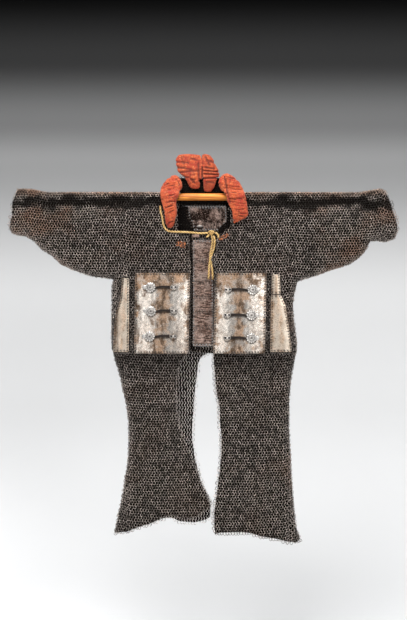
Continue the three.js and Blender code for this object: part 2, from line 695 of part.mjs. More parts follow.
// Clasps: a hasp riveted under a rosette, with its far end over a double eye. Three to each front plate.
const CLASP = {
  disc: 11, rosette: 12, lobeReach: 14, lobeRadius: 5.5, bar: 2.5, haspThick: 2, haspLift: 1.25,
  rosetteThick: 2.4, stud: 3, eyeRing: 4.5, eyeHole: 1.8, eyeGap: 8.6,
};
const CLASPS_RIGHT = table(
  ["x", "z", "tip"],
  [-133.5, -226, -85], [-132, -285, -84], [-135, -348, -86],
);
const CLASPS_LEFT = table(
  ["x", "z", "tip"],
  [121, -232, 69], [118, -295, 67], [118, -352, 67],
);

// The hasp's outline: the tail lobe, round the rivet, then a straight bar to the tip.
function haspShape(toTip) {
  const shape = new THREE.Shape();
  const direction = Math.sign(toTip);
  const tail = -direction * CLASP.lobeReach;
  const outline = [];
  const neck = 0.32;
  for (const angle of spread(neck, Math.PI - 0.62, 6)) outline.push([CLASP.disc, angle, 0]);
  for (const angle of spread(Math.PI - 1.9, Math.PI + 1.9, 6)) outline.push([CLASP.lobeRadius, angle, tail]);
  for (const angle of spread(Math.PI + 0.62, 2 * Math.PI - neck, 6)) outline.push([CLASP.disc, angle, 0]);
  const places = outline.map(([radius, angle, centre]) => [
    centre + direction * radius * Math.cos(angle),
    radius * Math.sin(angle),
  ]);
  const along = spread(0, 1, 4).slice(1).map((share) => mix(direction * CLASP.disc, toTip, share));
  along.forEach((x) => places.push([x, -CLASP.bar]));
  [...along].reverse().forEach((x) => places.push([x, CLASP.bar]));
  places.forEach(([x, z], i) => (i ? shape.lineTo(x, z) : shape.moveTo(x, z)));
  shape.closePath();
  return shape;
}

// The rosette: a domed disc with a scalloped rim and a round rivet head, turned about its own axis.
const SCALLOPS = 10;
function rosette() {
  const { rosette: rim, rosetteThick: thick, stud } = CLASP;
  const profile = [
    [0, 0], [rim, 0], [rim * 0.96, thick * 0.5], [stud, thick * 0.9], [stud * 0.8, thick * 1.7], [0, thick * 2],
  ].map(([r, h]) => new THREE.Vector2(r, h));
  const geometry = new THREE.LatheGeometry(profile, 2 * SCALLOPS);
  const position = geometry.getAttribute("position");
  for (let i = 0; i < position.count; i++) {
    const [x, h, y] = [position.getX(i), position.getY(i), position.getZ(i)];
    const radius = Math.hypot(x, y);
    const wave = radius > rim * 0.8 ? 1 + 0.07 * Math.cos(Math.atan2(y, x) * SCALLOPS) : 1;
    position.setXYZ(i, x * wave, -y * wave, h);
  }
  return geometry;
}

function eye() {
  const { eyeRing: ring, eyeHole: hole, eyeGap: gap } = CLASP;
  const shape = new THREE.Shape();
  const waist = Math.acos(gap / 2 / ring - 0.02);
  const half = (centre, from, to) =>
    spread(from, to, 6).map((angle) => [centre + ring * Math.cos(angle), ring * Math.sin(angle)]);
  const outline = [
    ...half(gap / 2, -Math.PI + waist, Math.PI - waist),
    ...half(-gap / 2, waist, 2 * Math.PI - waist),
  ];
  outline.forEach(([x, z], i) => (i ? shape.lineTo(x, z) : shape.moveTo(x, z)));
  shape.closePath();
  for (const centre of [-gap / 2, gap / 2]) {
    shape.holes.push(new THREE.Path().absarc(centre, 0, hole, 0, 2 * Math.PI, true));
  }
  return new THREE.ExtrudeGeometry(shape, { depth: 1.6, bevelEnabled: false, curveSegments: 3 });
}

function clasps() {
  const sets = [
    { side: "right", rows: CLASPS_RIGHT, edges: BIG_PLATE_RIGHT },
    { side: "left", rows: CLASPS_LEFT, edges: BIG_PLATE_LEFT },
  ];
  for (const { side, rows, edges } of sets) {
    const surface = bowed(edges, BIG_CROWN);
    const faceY = (x, z) => surface(FRONT, x, z, 0).y;
    rows.forEach(({ x, z, tip }, i) => {
      const name = `clasp_${side}_${i + 1}`;
      const flat = { depth: CLASP.haspThick, bevelEnabled: false };
      const hasp = new THREE.ExtrudeGeometry(haspShape(tip - x), flat);
      add(`${name}_hasp`, onFace(hasp, faceY, CLASP.haspLift, x, z), CLASP_IRON);
      const lift = CLASP.haspLift + CLASP.haspThick + SEAM_GAP;
      add(`${name}_rosette`, onFace(rosette(), faceY, lift, x, z), CLASP_IRON);
      const beyond = tip + Math.sign(tip - x) * (CLASP.eyeGap / 2 + CLASP.eyeRing + 0.4);
      add(`${name}_eye`, onFace(eye(), faceY, SEAM_GAP, beyond, z), CLASP_IRON);
    });
  }
}

// A cord or strap with its middle on a route of [x, y, z] places.
function cord(route, radius, steps, sides = 8) {
  const path = new THREE.CatmullRomCurve3(route.map((place) => new THREE.Vector3(...place)), false, "centripetal");
  const section = new THREE.Shape();
  spread(0, 2 * Math.PI, sides).slice(0, -1).forEach((angle, i) => {
    const [x, y] = [radius * Math.cos(angle), radius * Math.sin(angle)];
    if (i) section.lineTo(x, y);
    else section.moveTo(x, y);
  });
  section.closePath();
  return new THREE.ExtrudeGeometry(section, { steps, bevelEnabled: false, extrudePath: path });
}

// Lace: along the foot of the right lobe, across the open neck to its knot, and two hanging ends.
const onMail = (x, z, lift) => [x, onShirt(FRONT, x, z).y - lift, z];
const LACE_LIFT = LACE_RADIUS + 1;
const LACE_RUN = [
  onMail(-109, -22, LACE_LIFT), onMail(-108, -36, LACE_LIFT), onMail(-105, -47, LACE_LIFT),
  onMail(-103, -58, LACE_LIFT), onMail(-101, -69, LACE_LIFT), onMail(-97, -79, LACE_LIFT),
  onMail(-88, -86, LACE_LIFT), onMail(-75, -87.5, LACE_LIFT), onMail(-62, -88, LACE_LIFT),
  [-49, -26.5, -88.5], [-27, -26.5, -90], [-11, -26.5, -91.5], [11, -26.5, -90.6],
];
const KNOT = { x: 18.5, y: -26.5, z: -90, radius: 7 };
const LACE_STUB = [[13.2, -27, -95.4], [9.5, -28, -98.6], [5.5, -29, -102]];
const LACE_LOOP = [[26, -26.7, -90], [30, -28, -91], [34, -29, -94], [36, -29.5, -99], [35, -29, -103]];
const TAIL_LONG = [
  [19.3, -26.3, -97.5], [21, -23, -108], [20.5, -20, -120], [17, -19, -136], [15, -19, -152], [18, -19, -168],
  [21, -19, -188], [22, -19, -208],
];
const TAIL_SHORT = [
  [23.8, -27.2, -97], [26.5, -28.5, -108], [25.5, -26.5, -124], [21, -24.6, -140], [15.5, -24.2, -156],
  [13, -22, -172], [12, -20, -190], [11, -20, -207],
];

function lace() {
  add("lace_run", cord(LACE_RUN, LACE_RADIUS, 19), LACE_CORD);
  const knot = new THREE.SphereGeometry(KNOT.radius, 10, 7).scale(1, 0.62, 1);
  add("lace_knot", knot.translate(KNOT.x, KNOT.y, KNOT.z), LACE_CORD);
  add("lace_stub", cord(LACE_STUB, LACE_RADIUS, 3), LACE_CORD);
  add("lace_loop", cord(LACE_LOOP, LACE_RADIUS, 6), LACE_CORD);
  add("lace_tail_long", cord(TAIL_LONG, LACE_RADIUS, 13), LACE_CORD);
  add("lace_tail_short", cord(TAIL_SHORT, LACE_RADIUS, 13), LACE_CORD);
}

// Small things: two leather stubs on the fronts, a stud on the neck plate and a tab under it.
function strapStub(fromX, fromZ, toX, toZ, width, thick) {
  const [dx, dz] = [toX - fromX, toZ - fromZ];
  const length = Math.hypot(dx, dz);
  const shape = new THREE.Shape();
  const corner = ([along, side]) => [
    fromX + (dx / length) * along - (dz / length) * side,
    fromZ + (dz / length) * along + (dx / length) * side,
  ];
  const half = width / 2;
  const outline = [
    ...spread(0, length, 3).map((along) => corner([along, -half])),
    corner([length + half * 0.6, 0]),
    ...spread(length, 0, 3).map((along) => corner([along, half])),
  ];
  outline.forEach(([x, z], i) => (i ? shape.lineTo(x, z) : shape.moveTo(x, z)));
  shape.closePath();
  const flat = new THREE.ExtrudeGeometry(shape, { depth: thick, bevelEnabled: false });
  return onFace(flat, (x, z) => onShirt(FRONT, x, z).y, 0.5, 0, 0);
}

function trims() {
  add("leather_stub_right", strapStub(-48, -118, -64, -112, 8, 2.5), STRAP_LEATHER);
  add("leather_stub_left", strapStub(38, -107, 58, -96, 8, 2.5), STRAP_LEATHER);
  const insideBack = (x, z) => onShirt(BACK, x, z, 0, 0).y;
  const [studX, studZ, studRise] = [-10.5, -75, 2.5];
  const stud = new THREE.SphereGeometry(1, 12, 6).scale(9.5, studRise, 5.5);
  const studY = insideBack(studX, studZ) - PLATE_WALL - studRise - 0.6;
  add("neck_stud", stud.translate(studX, studY, studZ), CLASP_IRON);
  const tab = new THREE.BoxGeometry(17.5, 1.6, 7.5);
  add("back_tab", tab.translate(-21, insideBack(-21, -97) - MAIL_WALL - 1.3, -97), CLASP_IRON);
}

// The wooden rod, its ends hidden inside the sleeves.
function rod() {
  const geometry = new THREE.CylinderGeometry(ROD_RADIUS, ROD_RADIUS, ROD_LENGTH, 24);
  add("rod", geometry.rotateZ(Math.PI / 2), ROD_WOOD);
}

rod();
add("sleeve_right", sleeve(-227.3, SLEEVE_RIGHT_CUFF, SLEEVE_RIGHT_BOTTOM), IRON_RINGS);
add("sleeve_left", sleeve(235.3, SLEEVE_LEFT_CUFF, SLEEVE_LEFT_BOTTOM), IRON_RINGS);
chests();
backs();
waistMail();
skirts();
frontPlates();
backPlates();
neckStand();
collar();
clasps();
lace();
trims();

export default shirt;
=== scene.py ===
# %% [markdown]
# # A mail shirt with plates, hung on a wooden rod
#
# The shirt is a net of linked iron rings, with iron plates linked into it at the waist and down the
# spine, a padded red collar, a twisted lace and six riveted clasps. This lesson dresses the measured
# model of it. The measured model gives every place, and this file gives every surface its finish.

import math
from collections import namedtuple
from contextlib import contextmanager

import bpy
import numpy as np
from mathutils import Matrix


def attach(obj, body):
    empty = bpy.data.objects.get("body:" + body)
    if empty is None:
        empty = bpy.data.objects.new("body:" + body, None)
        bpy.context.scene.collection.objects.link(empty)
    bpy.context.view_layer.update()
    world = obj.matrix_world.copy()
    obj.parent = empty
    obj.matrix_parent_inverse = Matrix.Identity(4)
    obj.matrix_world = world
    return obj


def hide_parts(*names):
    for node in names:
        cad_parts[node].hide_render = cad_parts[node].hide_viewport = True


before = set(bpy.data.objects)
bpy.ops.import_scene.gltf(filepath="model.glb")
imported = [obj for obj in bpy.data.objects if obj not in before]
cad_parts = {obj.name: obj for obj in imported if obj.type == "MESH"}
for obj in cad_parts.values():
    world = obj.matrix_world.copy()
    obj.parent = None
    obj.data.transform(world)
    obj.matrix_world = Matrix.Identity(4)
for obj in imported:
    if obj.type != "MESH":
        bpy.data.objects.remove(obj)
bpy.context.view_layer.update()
print("nodes in the measured model:", len(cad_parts))

# %% [markdown]
# ## Camera
#
# The photograph looks straight at the shirt with a long lens, so the sleeves show almost no
# perspective. A camera six metres away with a narrow view gives the same flat look. One photograph
# pixel is 2.5 mm, which gives the height of the view.

# %% Camera
MM = 0.001
PIXEL = 2.5 * MM
VIEW_HEIGHT = 620 * PIXEL
VIEW_MIDDLE = (-1.25 * MM, -282.5 * MM)
CAMERA_AWAY = 6.0
SENSOR = 24.0

camera_data = bpy.data.cameras.new("camera")
camera_data.sensor_fit = "VERTICAL"
camera_data.sensor_height = SENSOR
camera_data.lens = SENSOR * CAMERA_AWAY / VIEW_HEIGHT
camera = bpy.data.objects.new("camera", camera_data)
camera.location = (VIEW_MIDDLE[0], -CAMERA_AWAY, VIEW_MIDDLE[1])
camera.rotation_euler = (math.pi / 2, 0, 0)
bpy.context.scene.collection.objects.link(camera)
bpy.context.scene.camera = camera
print("lens", round(camera_data.lens, 1), "mm")

# %% [markdown]
# ## Small helpers
#
# Operators act on what is selected, so each step starts with nothing selected. A table is a few rows
# measured in millimetres, read by straight lines between its rows.


# %% Helpers for selecting, tables and modifiers
def select_only(*objects):
    bpy.ops.object.select_all(action="DESELECT")
    for obj in objects:
        obj.select_set(True)
    bpy.context.view_layer.objects.active = objects[0]


def added(add, name="part", **settings):
    """Adds one of Blender's ready forms with nothing else selected, and names it."""
    bpy.ops.object.select_all(action="DESELECT")
    add(**settings)
    obj = bpy.context.object
    obj.name = obj.data.name = name
    return obj


@contextmanager
def editing(obj):
    """Edit mode with everything selected, and object mode again afterwards."""
    select_only(obj)
    bpy.ops.object.mode_set(mode="EDIT")
    bpy.ops.mesh.select_all(action="SELECT")
    yield
    bpy.ops.object.mode_set(mode="OBJECT")


def table(*rows):
    return np.array(rows, float) * MM


def read(rows, at, column=1):
    order = np.argsort(rows[:, 0])
    return np.interp(at, rows[order, 0], rows[order, column])


def apply_modifier(obj, kind, **settings):
    modifier = obj.modifiers.new(kind.lower(), kind)
    for name, value in settings.items():
        setattr(modifier, name, value)
    select_only(obj)
    bpy.ops.object.modifier_apply(modifier=modifier.name)


def fixed_normals(part):
    """Turns every face outwards, and leaves the part selected in object mode."""
    with editing(part):
        bpy.ops.mesh.normals_make_consistent(inside=False)


def points_of(obj):
    co = np.empty(len(obj.data.vertices) * 3)
    obj.data.vertices.foreach_get("co", co)
    return co.reshape(-1, 3)


def move_points(obj, points):
    obj.data.vertices.foreach_set("co", np.ascontiguousarray(points, float).ravel())
    obj.data.update()


def point_values(obj, name, values):
    """Keeps one value for each point, which a finish can read."""
    attribute = obj.data.attributes.new(name, "FLOAT", "POINT")
    attribute.data.foreach_set("value", np.ascontiguousarray(values, np.float32))


def unit(vectors):
    return vectors / np.maximum(np.linalg.norm(vectors, axis=-1, keepdims=True), 1e-12)


print("helpers ready")

# %% [markdown]
# ## The hanging form
#
# The cloth hangs from the rod in two layers that are one wall at the sides and under the sleeves.
# The outline is a few measured rows: the ridge over the rod, the sleeves' lower edges and the sides.
# How far each layer stands from the rod's plane depends on the drop below the ridge, less the folds,
# and it rounds off to nothing at a closed edge. The same sizes gave the measured model its walls.

# %% Outline of the shirt
ROD_RADIUS = 9 * MM
MAIL_WALL = 3 * MM
RIDGE_ROUND = 12.6 * MM
SIDE_ROUND = 22 * MM
WAIST_Z = -391 * MM
CHEST_FOOT_Z = -190 * MM

RIDGE = table(
    (-465, 21), (-431, 20.5), (-405, 15), (-392, 12.6), (392, 12.6), (430, 19.5), (441, 22), (456, 15)
)
SLEEVE_RIGHT_BOTTOM = table(
    (-487, -82), (-478, -92.5), (-464, -97), (-445, -100), (-426, -111), (-408, -131), (-380, -148),
    (-359, -168), (-334, -181), (-310, -190), (-271, -202), (-247, -204), (-227, -207.5),
)
SLEEVE_LEFT_BOTTOM = table(
    (484, -90), (476, -105), (456, -114), (435, -111), (414, -112), (411, -124), (401, -139),
    (387, -154), (364, -170), (336, -178), (308, -188), (289, -195), (271, -201), (248, -208),
    (235, -212),
)
CUFF_RIGHT = table((21, -465), (7, -472), (-14, -481), (-40, -480), (-61, -485), (-82, -487))
CUFF_LEFT = table(
    (18, 449), (14, 456), (-1, 463), (-16, 470), (-34, 474), (-51, 481), (-75, 484), (-90, 484)
)
SIDE_RIGHT = table(
    (-207.5, -227), (-219, -230), (-302, -232.5), (-350, -232), (-382, -230), (-407, -223),
    (-454, -210), (-515, -196.5), (-558, -190), (-608, -189), (-652, -191), (-699, -198),
    (-752, -206.5), (-796, -216.5), (-841, -225),
)
SIDE_LEFT = table(
    (-212, 235), (-243, 226.5), (-268, 223), (-303, 225), (-338, 230), (-364, 233.5), (-384, 232),
    (-417, 225.5), (-451, 219), (-508, 214), (-575, 214), (-642, 217), (-709, 220.5), (-776, 225.5),
    (-826, 232), (-856, 242),
)
CLOSED_EDGES = [
    (1, np.vstack([SLEEVE_RIGHT_BOTTOM, SIDE_RIGHT[1:, ::-1]])),
    (-1, np.vstack([SLEEVE_LEFT_BOTTOM, SIDE_LEFT[1:, ::-1]])),
]
print("closed edges have", [len(points) for _, points in CLOSED_EDGES], "points")

# %% Hang and folds of the two layers
# A fold runs between two places, with a reach to each side and a depth. A negative depth is a ridge.
Face = namedtuple("Face", "sign hang folds")
FRONT = Face(
    -1,
    table(
        (12.6, 12.6), (24, 13.5), (40, 17), (60, 20.5), (100, 23.5), (200, 25), (410, 25), (560, 22),
        (900, 17),
    ),
    table(
        (-408, -19, -200, -19, 9, 6), (206, -17, 392, -17, 9, 6), (-206, -140, -224, -202, 9, 6),
        (214, -142, 231, -204, 9, 6), (402, -22, 436, -42, 8, 6), (-440, -10, -455, -70, 9, 5),
        (-300, -80, -420, -66, 12, 3.5), (290, -92, 400, -74, 12, 3.5), (-262, -128, -350, -120, 12, 3),
        (266, -134, 352, -128, 12, 3), (-160, -420, -146, -800, 17, 4), (-92, -440, -112, -780, 15, 3),
        (96, -410, 84, -820, 16, 4), (168, -420, 176, -840, 17, 4),
    ),
)
BACK = Face(
    1,
    table((12.6, 12.6), (60, 14), (150, 16.5), (410, 18), (560, 16), (900, 13)),
    table(
        (-400, -26, -230, -30, 14, 3), (235, -28, 395, -24, 14, 3), (-205, -130, -223, -200, 10, 5),
        (212, -132, 230, -205, 10, 5), (-120, -120, -132, -370, 18, 3), (110, -110, 126, -370, 18, 3),
        (-140, -420, -150, -800, 18, 4), (-62, -440, -50, -760, 15, 3), (120, -420, 130, -830, 18, 4),
    ),
)


def to_segment(x, z, x1, z1, x2, z2):
    dx, dz = x2 - x1, z2 - z1
    share = np.clip(((x - x1) * dx + (z - z1) * dz) / (dx**2 + dz**2), 0, 1)
    return x - x1 - dx * share, z - z1 - dz * share


def fold_depth(folds, x, z):
    total = np.zeros(np.broadcast(x, z).shape)
    for x1, z1, x2, z2, reach, depth in folds:
        total += depth * np.exp(-((np.hypot(*to_segment(x, z, x1, z1, x2, z2)) / reach) ** 2))
    return total


def from_edge(x, z):
    """How far a place lies inside the nearest closed edge, and the direction from that edge to it."""
    best = np.full(np.broadcast(x, z).shape, np.inf)
    inward, in_x, in_z = best.copy(), np.zeros_like(best), np.zeros_like(best)
    clearest = np.zeros_like(best)
    for turn, points in CLOSED_EDGES:
        for (x1, z1), (x2, z2) in zip(points[:-1], points[1:]):
            off_x, off_z = to_segment(x, z, x1, z1, x2, z2)
            distance = np.hypot(off_x, off_z)
            length = math.hypot(x2 - x1, z2 - z1)
            normal_x, normal_z = -(z2 - z1) / length * turn, (x2 - x1) / length * turn
            off = off_x * normal_x + off_z * normal_z
            side = np.where(off < -1e-7, -1, 1)
            # At a corner two edges are equally near, and the one seen more squarely tells the side.
            level = np.abs(distance - best) < 1e-9
            nearer = np.where(level, np.abs(off) > clearest, distance < best)
            best = np.where(nearer, distance, best)
            clearest = np.where(nearer, np.abs(off), clearest)
            inward = np.where(nearer, distance * side, inward)
            on_it, away = distance < 1e-6, distance + 1e-9
            in_x = np.where(nearer, np.where(on_it, normal_x, side * off_x / away), in_x)
            in_z = np.where(nearer, np.where(on_it, normal_z, side * off_z / away), in_z)
    return inward, in_x, in_z


def round_off(inward):
    return np.sqrt(1 - (1 - np.clip(inward, 0, 1)) ** 2)


def on_shirt(face, x, z, inset=0.0):
    """Points of a layer's wall. An inset of 0 is its outside and MAIL_WALL is its inside."""
    x, z = np.broadcast_arrays(np.asarray(x, float), np.asarray(z, float))
    drop = np.maximum(read(RIDGE, x) - z, 0)
    inward, in_x, in_z = from_edge(x, z)
    at_edge = inset * np.clip(1 - inward / SIDE_ROUND, 0, 1)
    at_ridge = inset * np.maximum(0, 1 - drop / RIDGE_ROUND)
    hang = np.where(
        drop < RIDGE_ROUND,
        (RIDGE_ROUND - inset) * round_off(drop / RIDGE_ROUND),
        read(face.hang, drop) - fold_depth(face.folds, x, z) - inset,
    )
    y = face.sign * hang * round_off(inward / SIDE_ROUND)
    return np.stack([x + in_x * at_edge, y, z + in_z * at_edge - at_ridge], -1)


print("front at the chest:", np.round(on_shirt(FRONT, 0.12, -0.12), 4))

# %% [markdown]
# ## Edges of the panels
#
# The mail is worked in panels that a maker links together: two fronts, two backs, two sleeves, the
# strips and flanks beside the plates, and four skirt panels. Each panel is kept between a left and a
# right edge. These are the free edges, such as the neck, the open front and the hems, and the seats
# of the plates.

# %% Panel edges
CHEST_EDGE_RIGHT = table((12.6, -62), (-30, -66), (-87, -68), (-89.5, -37), (-133, -37), (-190, -34))
CHEST_EDGE_LEFT = table(
    (12.6, 56), (-30, 64), (-72, 70), (-88, 48), (-112, 33.5), (-168, 26), (-190, 31)
)
SPINE_LEFT, SPINE_RIGHT = -29 * MM, 24 * MM
SPINE_FOOT = -373 * MM
NECK_PLATE = table(
    (-23, -40.5, 57), (-49, -39.5, 58), (-62, -31, 57), (-75, -28, 41), (-84, -27, 36)
)
BACK_EDGE_RIGHT = table(
    (12.6, -62), (-22, -62), (-22.6, -41), (-49, -40), (-62, -31.5), (-84, -27.5), (-84.6, -2),
    (-106.6, -2), (-107.2, -29.4), (-372.8, -29.4), (-373.4, -2), (-391, -2),
)
BACK_EDGE_LEFT = table(
    (12.6, 56), (-22, 56), (-22.6, 57.6), (-49, 58.6), (-62, 57.6), (-75, 41.6), (-84, 36.6),
    (-84.6, -2), (-106.6, -2), (-107.2, 24.4), (-372.8, 24.4), (-373.4, -2), (-391, -2),
)
PLATE_RIGHT = table((-190.4, -171.5, -35), (-390.5, -174, -39))
PLATE_LEFT = table((-190.4, 30, 156), (-390.5, 22.5, 152))
SIDE_PLATE_RIGHT = table(
    (-203.4, -204, -186.5), (-243, -207, -186.5), (-264, -210, -186.5), (-285, -219, -186.5),
    (-320, -223.5, -187), (-387, -226.5, -187.5),
)
SIDE_PLATE_LEFT_UPPER = table((-194, 169, 189), (-243, 167.5, 191))
SIDE_PLATE_LEFT_LOWER = table(
    (-245.5, 166.5, 191.5), (-268, 166.5, 202), (-320, 166, 211), (-387, 165, 219.5)
)
FLANK_EDGE_RIGHT = np.vstack([table((-190, -186), (-202.8, -186)), SIDE_PLATE_RIGHT[:, :2]])
FLANK_EDGE_LEFT = np.vstack(
    [table((-190, 169), (-193.5, 169)), SIDE_PLATE_LEFT_UPPER[:, ::2], SIDE_PLATE_LEFT_LOWER[:, ::2]]
)
STRIP_EDGE_LEFT = np.vstack([SIDE_PLATE_LEFT_UPPER[:, :2], SIDE_PLATE_LEFT_LOWER[:, :2]])
SKIRT_FRONT_EDGE_RIGHT = table(
    (-391, -39), (-412, -58), (-450, -66), (-530, -66), (-580, -58), (-640, -34), (-686, -13),
    (-719, -5), (-742, 8), (-765, 18), (-810, 19),
)
SKIRT_BACK_EDGE_RIGHT = table(
    (-391, 12), (-401, -5.5), (-418, -10.5), (-458, -15.5), (-498, -20.5), (-532, -22),
    (-572, -25.5), (-608, -25.5), (-652, -19), (-686, -10.5), (-719, -2), (-742, 11), (-765, 21),
    (-810, 19),
)
SKIRT_EDGE_LEFT = table(
    (-391, 19.5), (-418, 21), (-458, 24.5), (-491, 28), (-525, 35), (-565, 36), (-598, 40),
    (-642, 40), (-679, 36), (-719, 31), (-752, 26.5), (-790, 22), (-826, 22), (-850, 26),
)
HEM_FRONT_RIGHT = table(
    (-224, -841), (-193, -840), (-173, -831), (-133, -818), (-102, -801), (-75, -797), (-47, -808),
    (-18, -801), (-4, -787), (19, -772),
)
HEM_BACK_RIGHT = table(
    (-224, -841), (-193, -840), (-173, -831), (-133, -821), (-103, -808), (-86, -804.5),
    (-59, -816), (-26, -819), (-2, -814), (18, -804),
)
HEM_LEFT = table(
    (24, -846), (48, -841), (91, -840), (118, -843), (142, -851), (175, -856), (209, -864),
    (232, -866), (242, -857),
)
ARM_RIGHT_X, ARM_LEFT_X = -227.3 * MM, 235.3 * MM
ARMPIT_RIGHT_Z, ARMPIT_LEFT_Z = -207.5 * MM, -212 * MM

# A panel: its layer, its top, its left and right edges and its hem. None is a closed side.
Panel = namedtuple("Panel", "face top foot left right hem", defaults=(None,))
SKIRT_FOOT = -870 * MM
PANELS = {
    "chest_right": Panel(FRONT, RIDGE_ROUND, CHEST_FOOT_Z, None, CHEST_EDGE_RIGHT),
    "chest_left": Panel(FRONT, RIDGE_ROUND, CHEST_FOOT_Z, CHEST_EDGE_LEFT, None),
    "flank_right": Panel(FRONT, CHEST_FOOT_Z, WAIST_Z, None, FLANK_EDGE_RIGHT),
    "flank_left": Panel(FRONT, CHEST_FOOT_Z, WAIST_Z, FLANK_EDGE_LEFT, None),
    "strip_right": Panel(FRONT, CHEST_FOOT_Z, WAIST_Z, SIDE_PLATE_RIGHT[:, ::2], PLATE_RIGHT[:, :2]),
    "strip_left": Panel(FRONT, CHEST_FOOT_Z, WAIST_Z, PLATE_LEFT[:, ::2], STRIP_EDGE_LEFT),
    "back_right": Panel(BACK, RIDGE_ROUND, WAIST_Z, None, BACK_EDGE_RIGHT),
    "back_left": Panel(BACK, RIDGE_ROUND, WAIST_Z, BACK_EDGE_LEFT, None),
    "skirt_front_right": Panel(FRONT, WAIST_Z, SKIRT_FOOT, None, SKIRT_FRONT_EDGE_RIGHT, HEM_FRONT_RIGHT),
    "skirt_back_right": Panel(BACK, WAIST_Z, SKIRT_FOOT, None, SKIRT_BACK_EDGE_RIGHT, HEM_BACK_RIGHT),
    "skirt_front_left": Panel(FRONT, WAIST_Z, SKIRT_FOOT, SKIRT_EDGE_LEFT, None, HEM_LEFT),
    "skirt_back_left": Panel(BACK, WAIST_Z, SKIRT_FOOT, SKIRT_EDGE_LEFT, None, HEM_LEFT),
}


def on_panel(panel, x, z):
    """True where a place lies on the panel."""
    arm = ((x < ARM_RIGHT_X) & (z > ARMPIT_RIGHT_Z)) | ((x > ARM_LEFT_X) & (z > ARMPIT_LEFT_Z))
    there = ~arm & (z <= panel.top) & (z > panel.foot) & (from_edge(x, z)[0] > 0)
    if panel.left is not None:
        there &= x >= read(panel.left, z)
    if panel.right is not None:
        there &= x < read(panel.right, z)
    return there if panel.hem is None else there & (z > read(panel.hem, x))


print(len(PANELS), "panels and two sleeves")

# %% [markdown]
# ## Laying out the rings
#
# On a hanging shirt the rings stay the same distance apart wherever the cloth bends. So the rows are
# spaced by the length of the cloth down from the ridge, and the rings in a row by the length of the
# cloth across from the middle. Both lengths are summed on a grid over each layer, and a few Newton
# steps find the place of each ring. Every second row is shifted by half a ring.

# %% Ring places
RING_ACROSS = 6.85 * MM
RING_DOWN = 6.25 * MM
ROWS, COLUMNS = 150, 95  # rows down, and rings to each side of the middle
WANDER = 1.6 * MM  # how far the rows stray from straight, in waves of about 0.2 to 0.7 m

GRID_X = np.arange(-0.5, 0.5, 3.5 * MM)
GRID_DROP = np.concatenate([np.linspace(0, 0.03, 25), np.arange(0.0335, 0.92, 3.5 * MM)])


def sample(grid, x, drop):
    """The grid's value and its two slopes at each place, by straight lines between grid places."""
    i = np.clip(np.searchsorted(GRID_X, x) - 1, 0, len(GRID_X) - 2)
    j = np.clip(np.searchsorted(GRID_DROP, drop) - 1, 0, len(GRID_DROP) - 2)
    s = np.clip((x - GRID_X[i]) / (GRID_X[i + 1] - GRID_X[i]), 0, 1)
    t = np.clip((drop - GRID_DROP[j]) / (GRID_DROP[j + 1] - GRID_DROP[j]), 0, 1)
    low = grid[i, j] * (1 - s) + grid[i + 1, j] * s
    high = grid[i, j + 1] * (1 - s) + grid[i + 1, j + 1] * s
    slope_x = (grid[i + 1, j] - grid[i, j]) * (1 - t) + (grid[i + 1, j + 1] - grid[i, j + 1]) * t
    slope_x /= GRID_X[i + 1] - GRID_X[i]
    return low * (1 - t) + high * t, slope_x, (high - low) / (GRID_DROP[j + 1] - GRID_DROP[j])


def ring_places(face):
    """x, z and row number of every ring that the layer could hold."""
    grid_x, grid_drop = np.meshgrid(GRID_X, GRID_DROP, indexing="ij")
    depth = on_shirt(face, grid_x, read(RIDGE, grid_x) - grid_drop)[..., 1]
    down = np.zeros_like(depth)
    down[:, 1:] = np.cumsum(np.hypot(np.diff(grid_drop, axis=1), np.diff(depth, axis=1)), axis=1)
    across = np.zeros_like(depth)
    across[1:] = np.cumsum(np.hypot(np.diff(grid_x, axis=0), np.diff(depth, axis=0)), axis=0)
    across -= across[np.argmin(np.abs(GRID_X))]
    rows, columns = np.meshgrid(np.arange(ROWS), np.arange(-COLUMNS, COLUMNS + 1), indexing="ij")
    rows, columns = rows.ravel(), columns.ravel()
    want_across = (columns + 0.5 * (rows % 2)) * RING_ACROSS
    want_down = (rows + 0.5) * RING_DOWN
    stray = np.sin(want_across * 31 + face.sign) + np.sin(want_across * 13 + want_down * 17)
    stray_down = WANDER * stray * np.clip(want_down / 0.05, 0, 1)
    stray_across = WANDER * np.sin(want_down * 23 + want_across * 9 + 2 * face.sign)
    x, drop = want_across.copy(), want_down.copy()
    for _ in range(14):
        found, slope, _ = sample(across, x, drop)
        x += (want_across + stray_across - found) / np.maximum(slope, 1)
        found, _, slope = sample(down, x, drop)
        drop = np.maximum(drop + (want_down + stray_down - found) / np.maximum(slope, 1), 0)
    return x, read(RIDGE, x) - drop, rows


PLACES = {face.sign: ring_places(face) for face in (FRONT, BACK)}
print("ring places tried:", sum(len(x) for x, _, _ in PLACES.values()))

# %% [markdown]
# ## One ring, and thousands
#
# A ring is a loop of round wire, 9.7 mm outside. It is modelled once as a torus of few faces,
# because it is repeated some nineteen thousand times. In a row all rings lean one way, and in the
# next row they lean the other way, which is what links them and gives mail its grain. Each copy is
# turned to the cloth's own slope, leans a little more or less than its neighbours, and carries its own
# tone for the finish. The copies of a panel are one joined mesh.

# %% The ring
WIRE = 1.3 * MM
RING_MIDDLE = 4.2 * MM  # from the ring's centre to the middle of its wire
ROUNDER = 1.1  # a wire of three sides is drawn larger, to look as thick as a round one
LEAN, LINK_LEAN = math.radians(30), math.radians(52)
ASTRAY = 0.22 * MM  # how far rings lie from their places, and how far they lean and tip by chance
LEAN_ASTRAY, TIP_ASTRAY = math.radians(6), math.radians(7)
RING_DEPTH = 1.5 * MM  # the rings' centres lie halfway through the wall
INNER_DEPTH = 1.6 * MM  # over this depth a ring goes from its inner side to its outer side

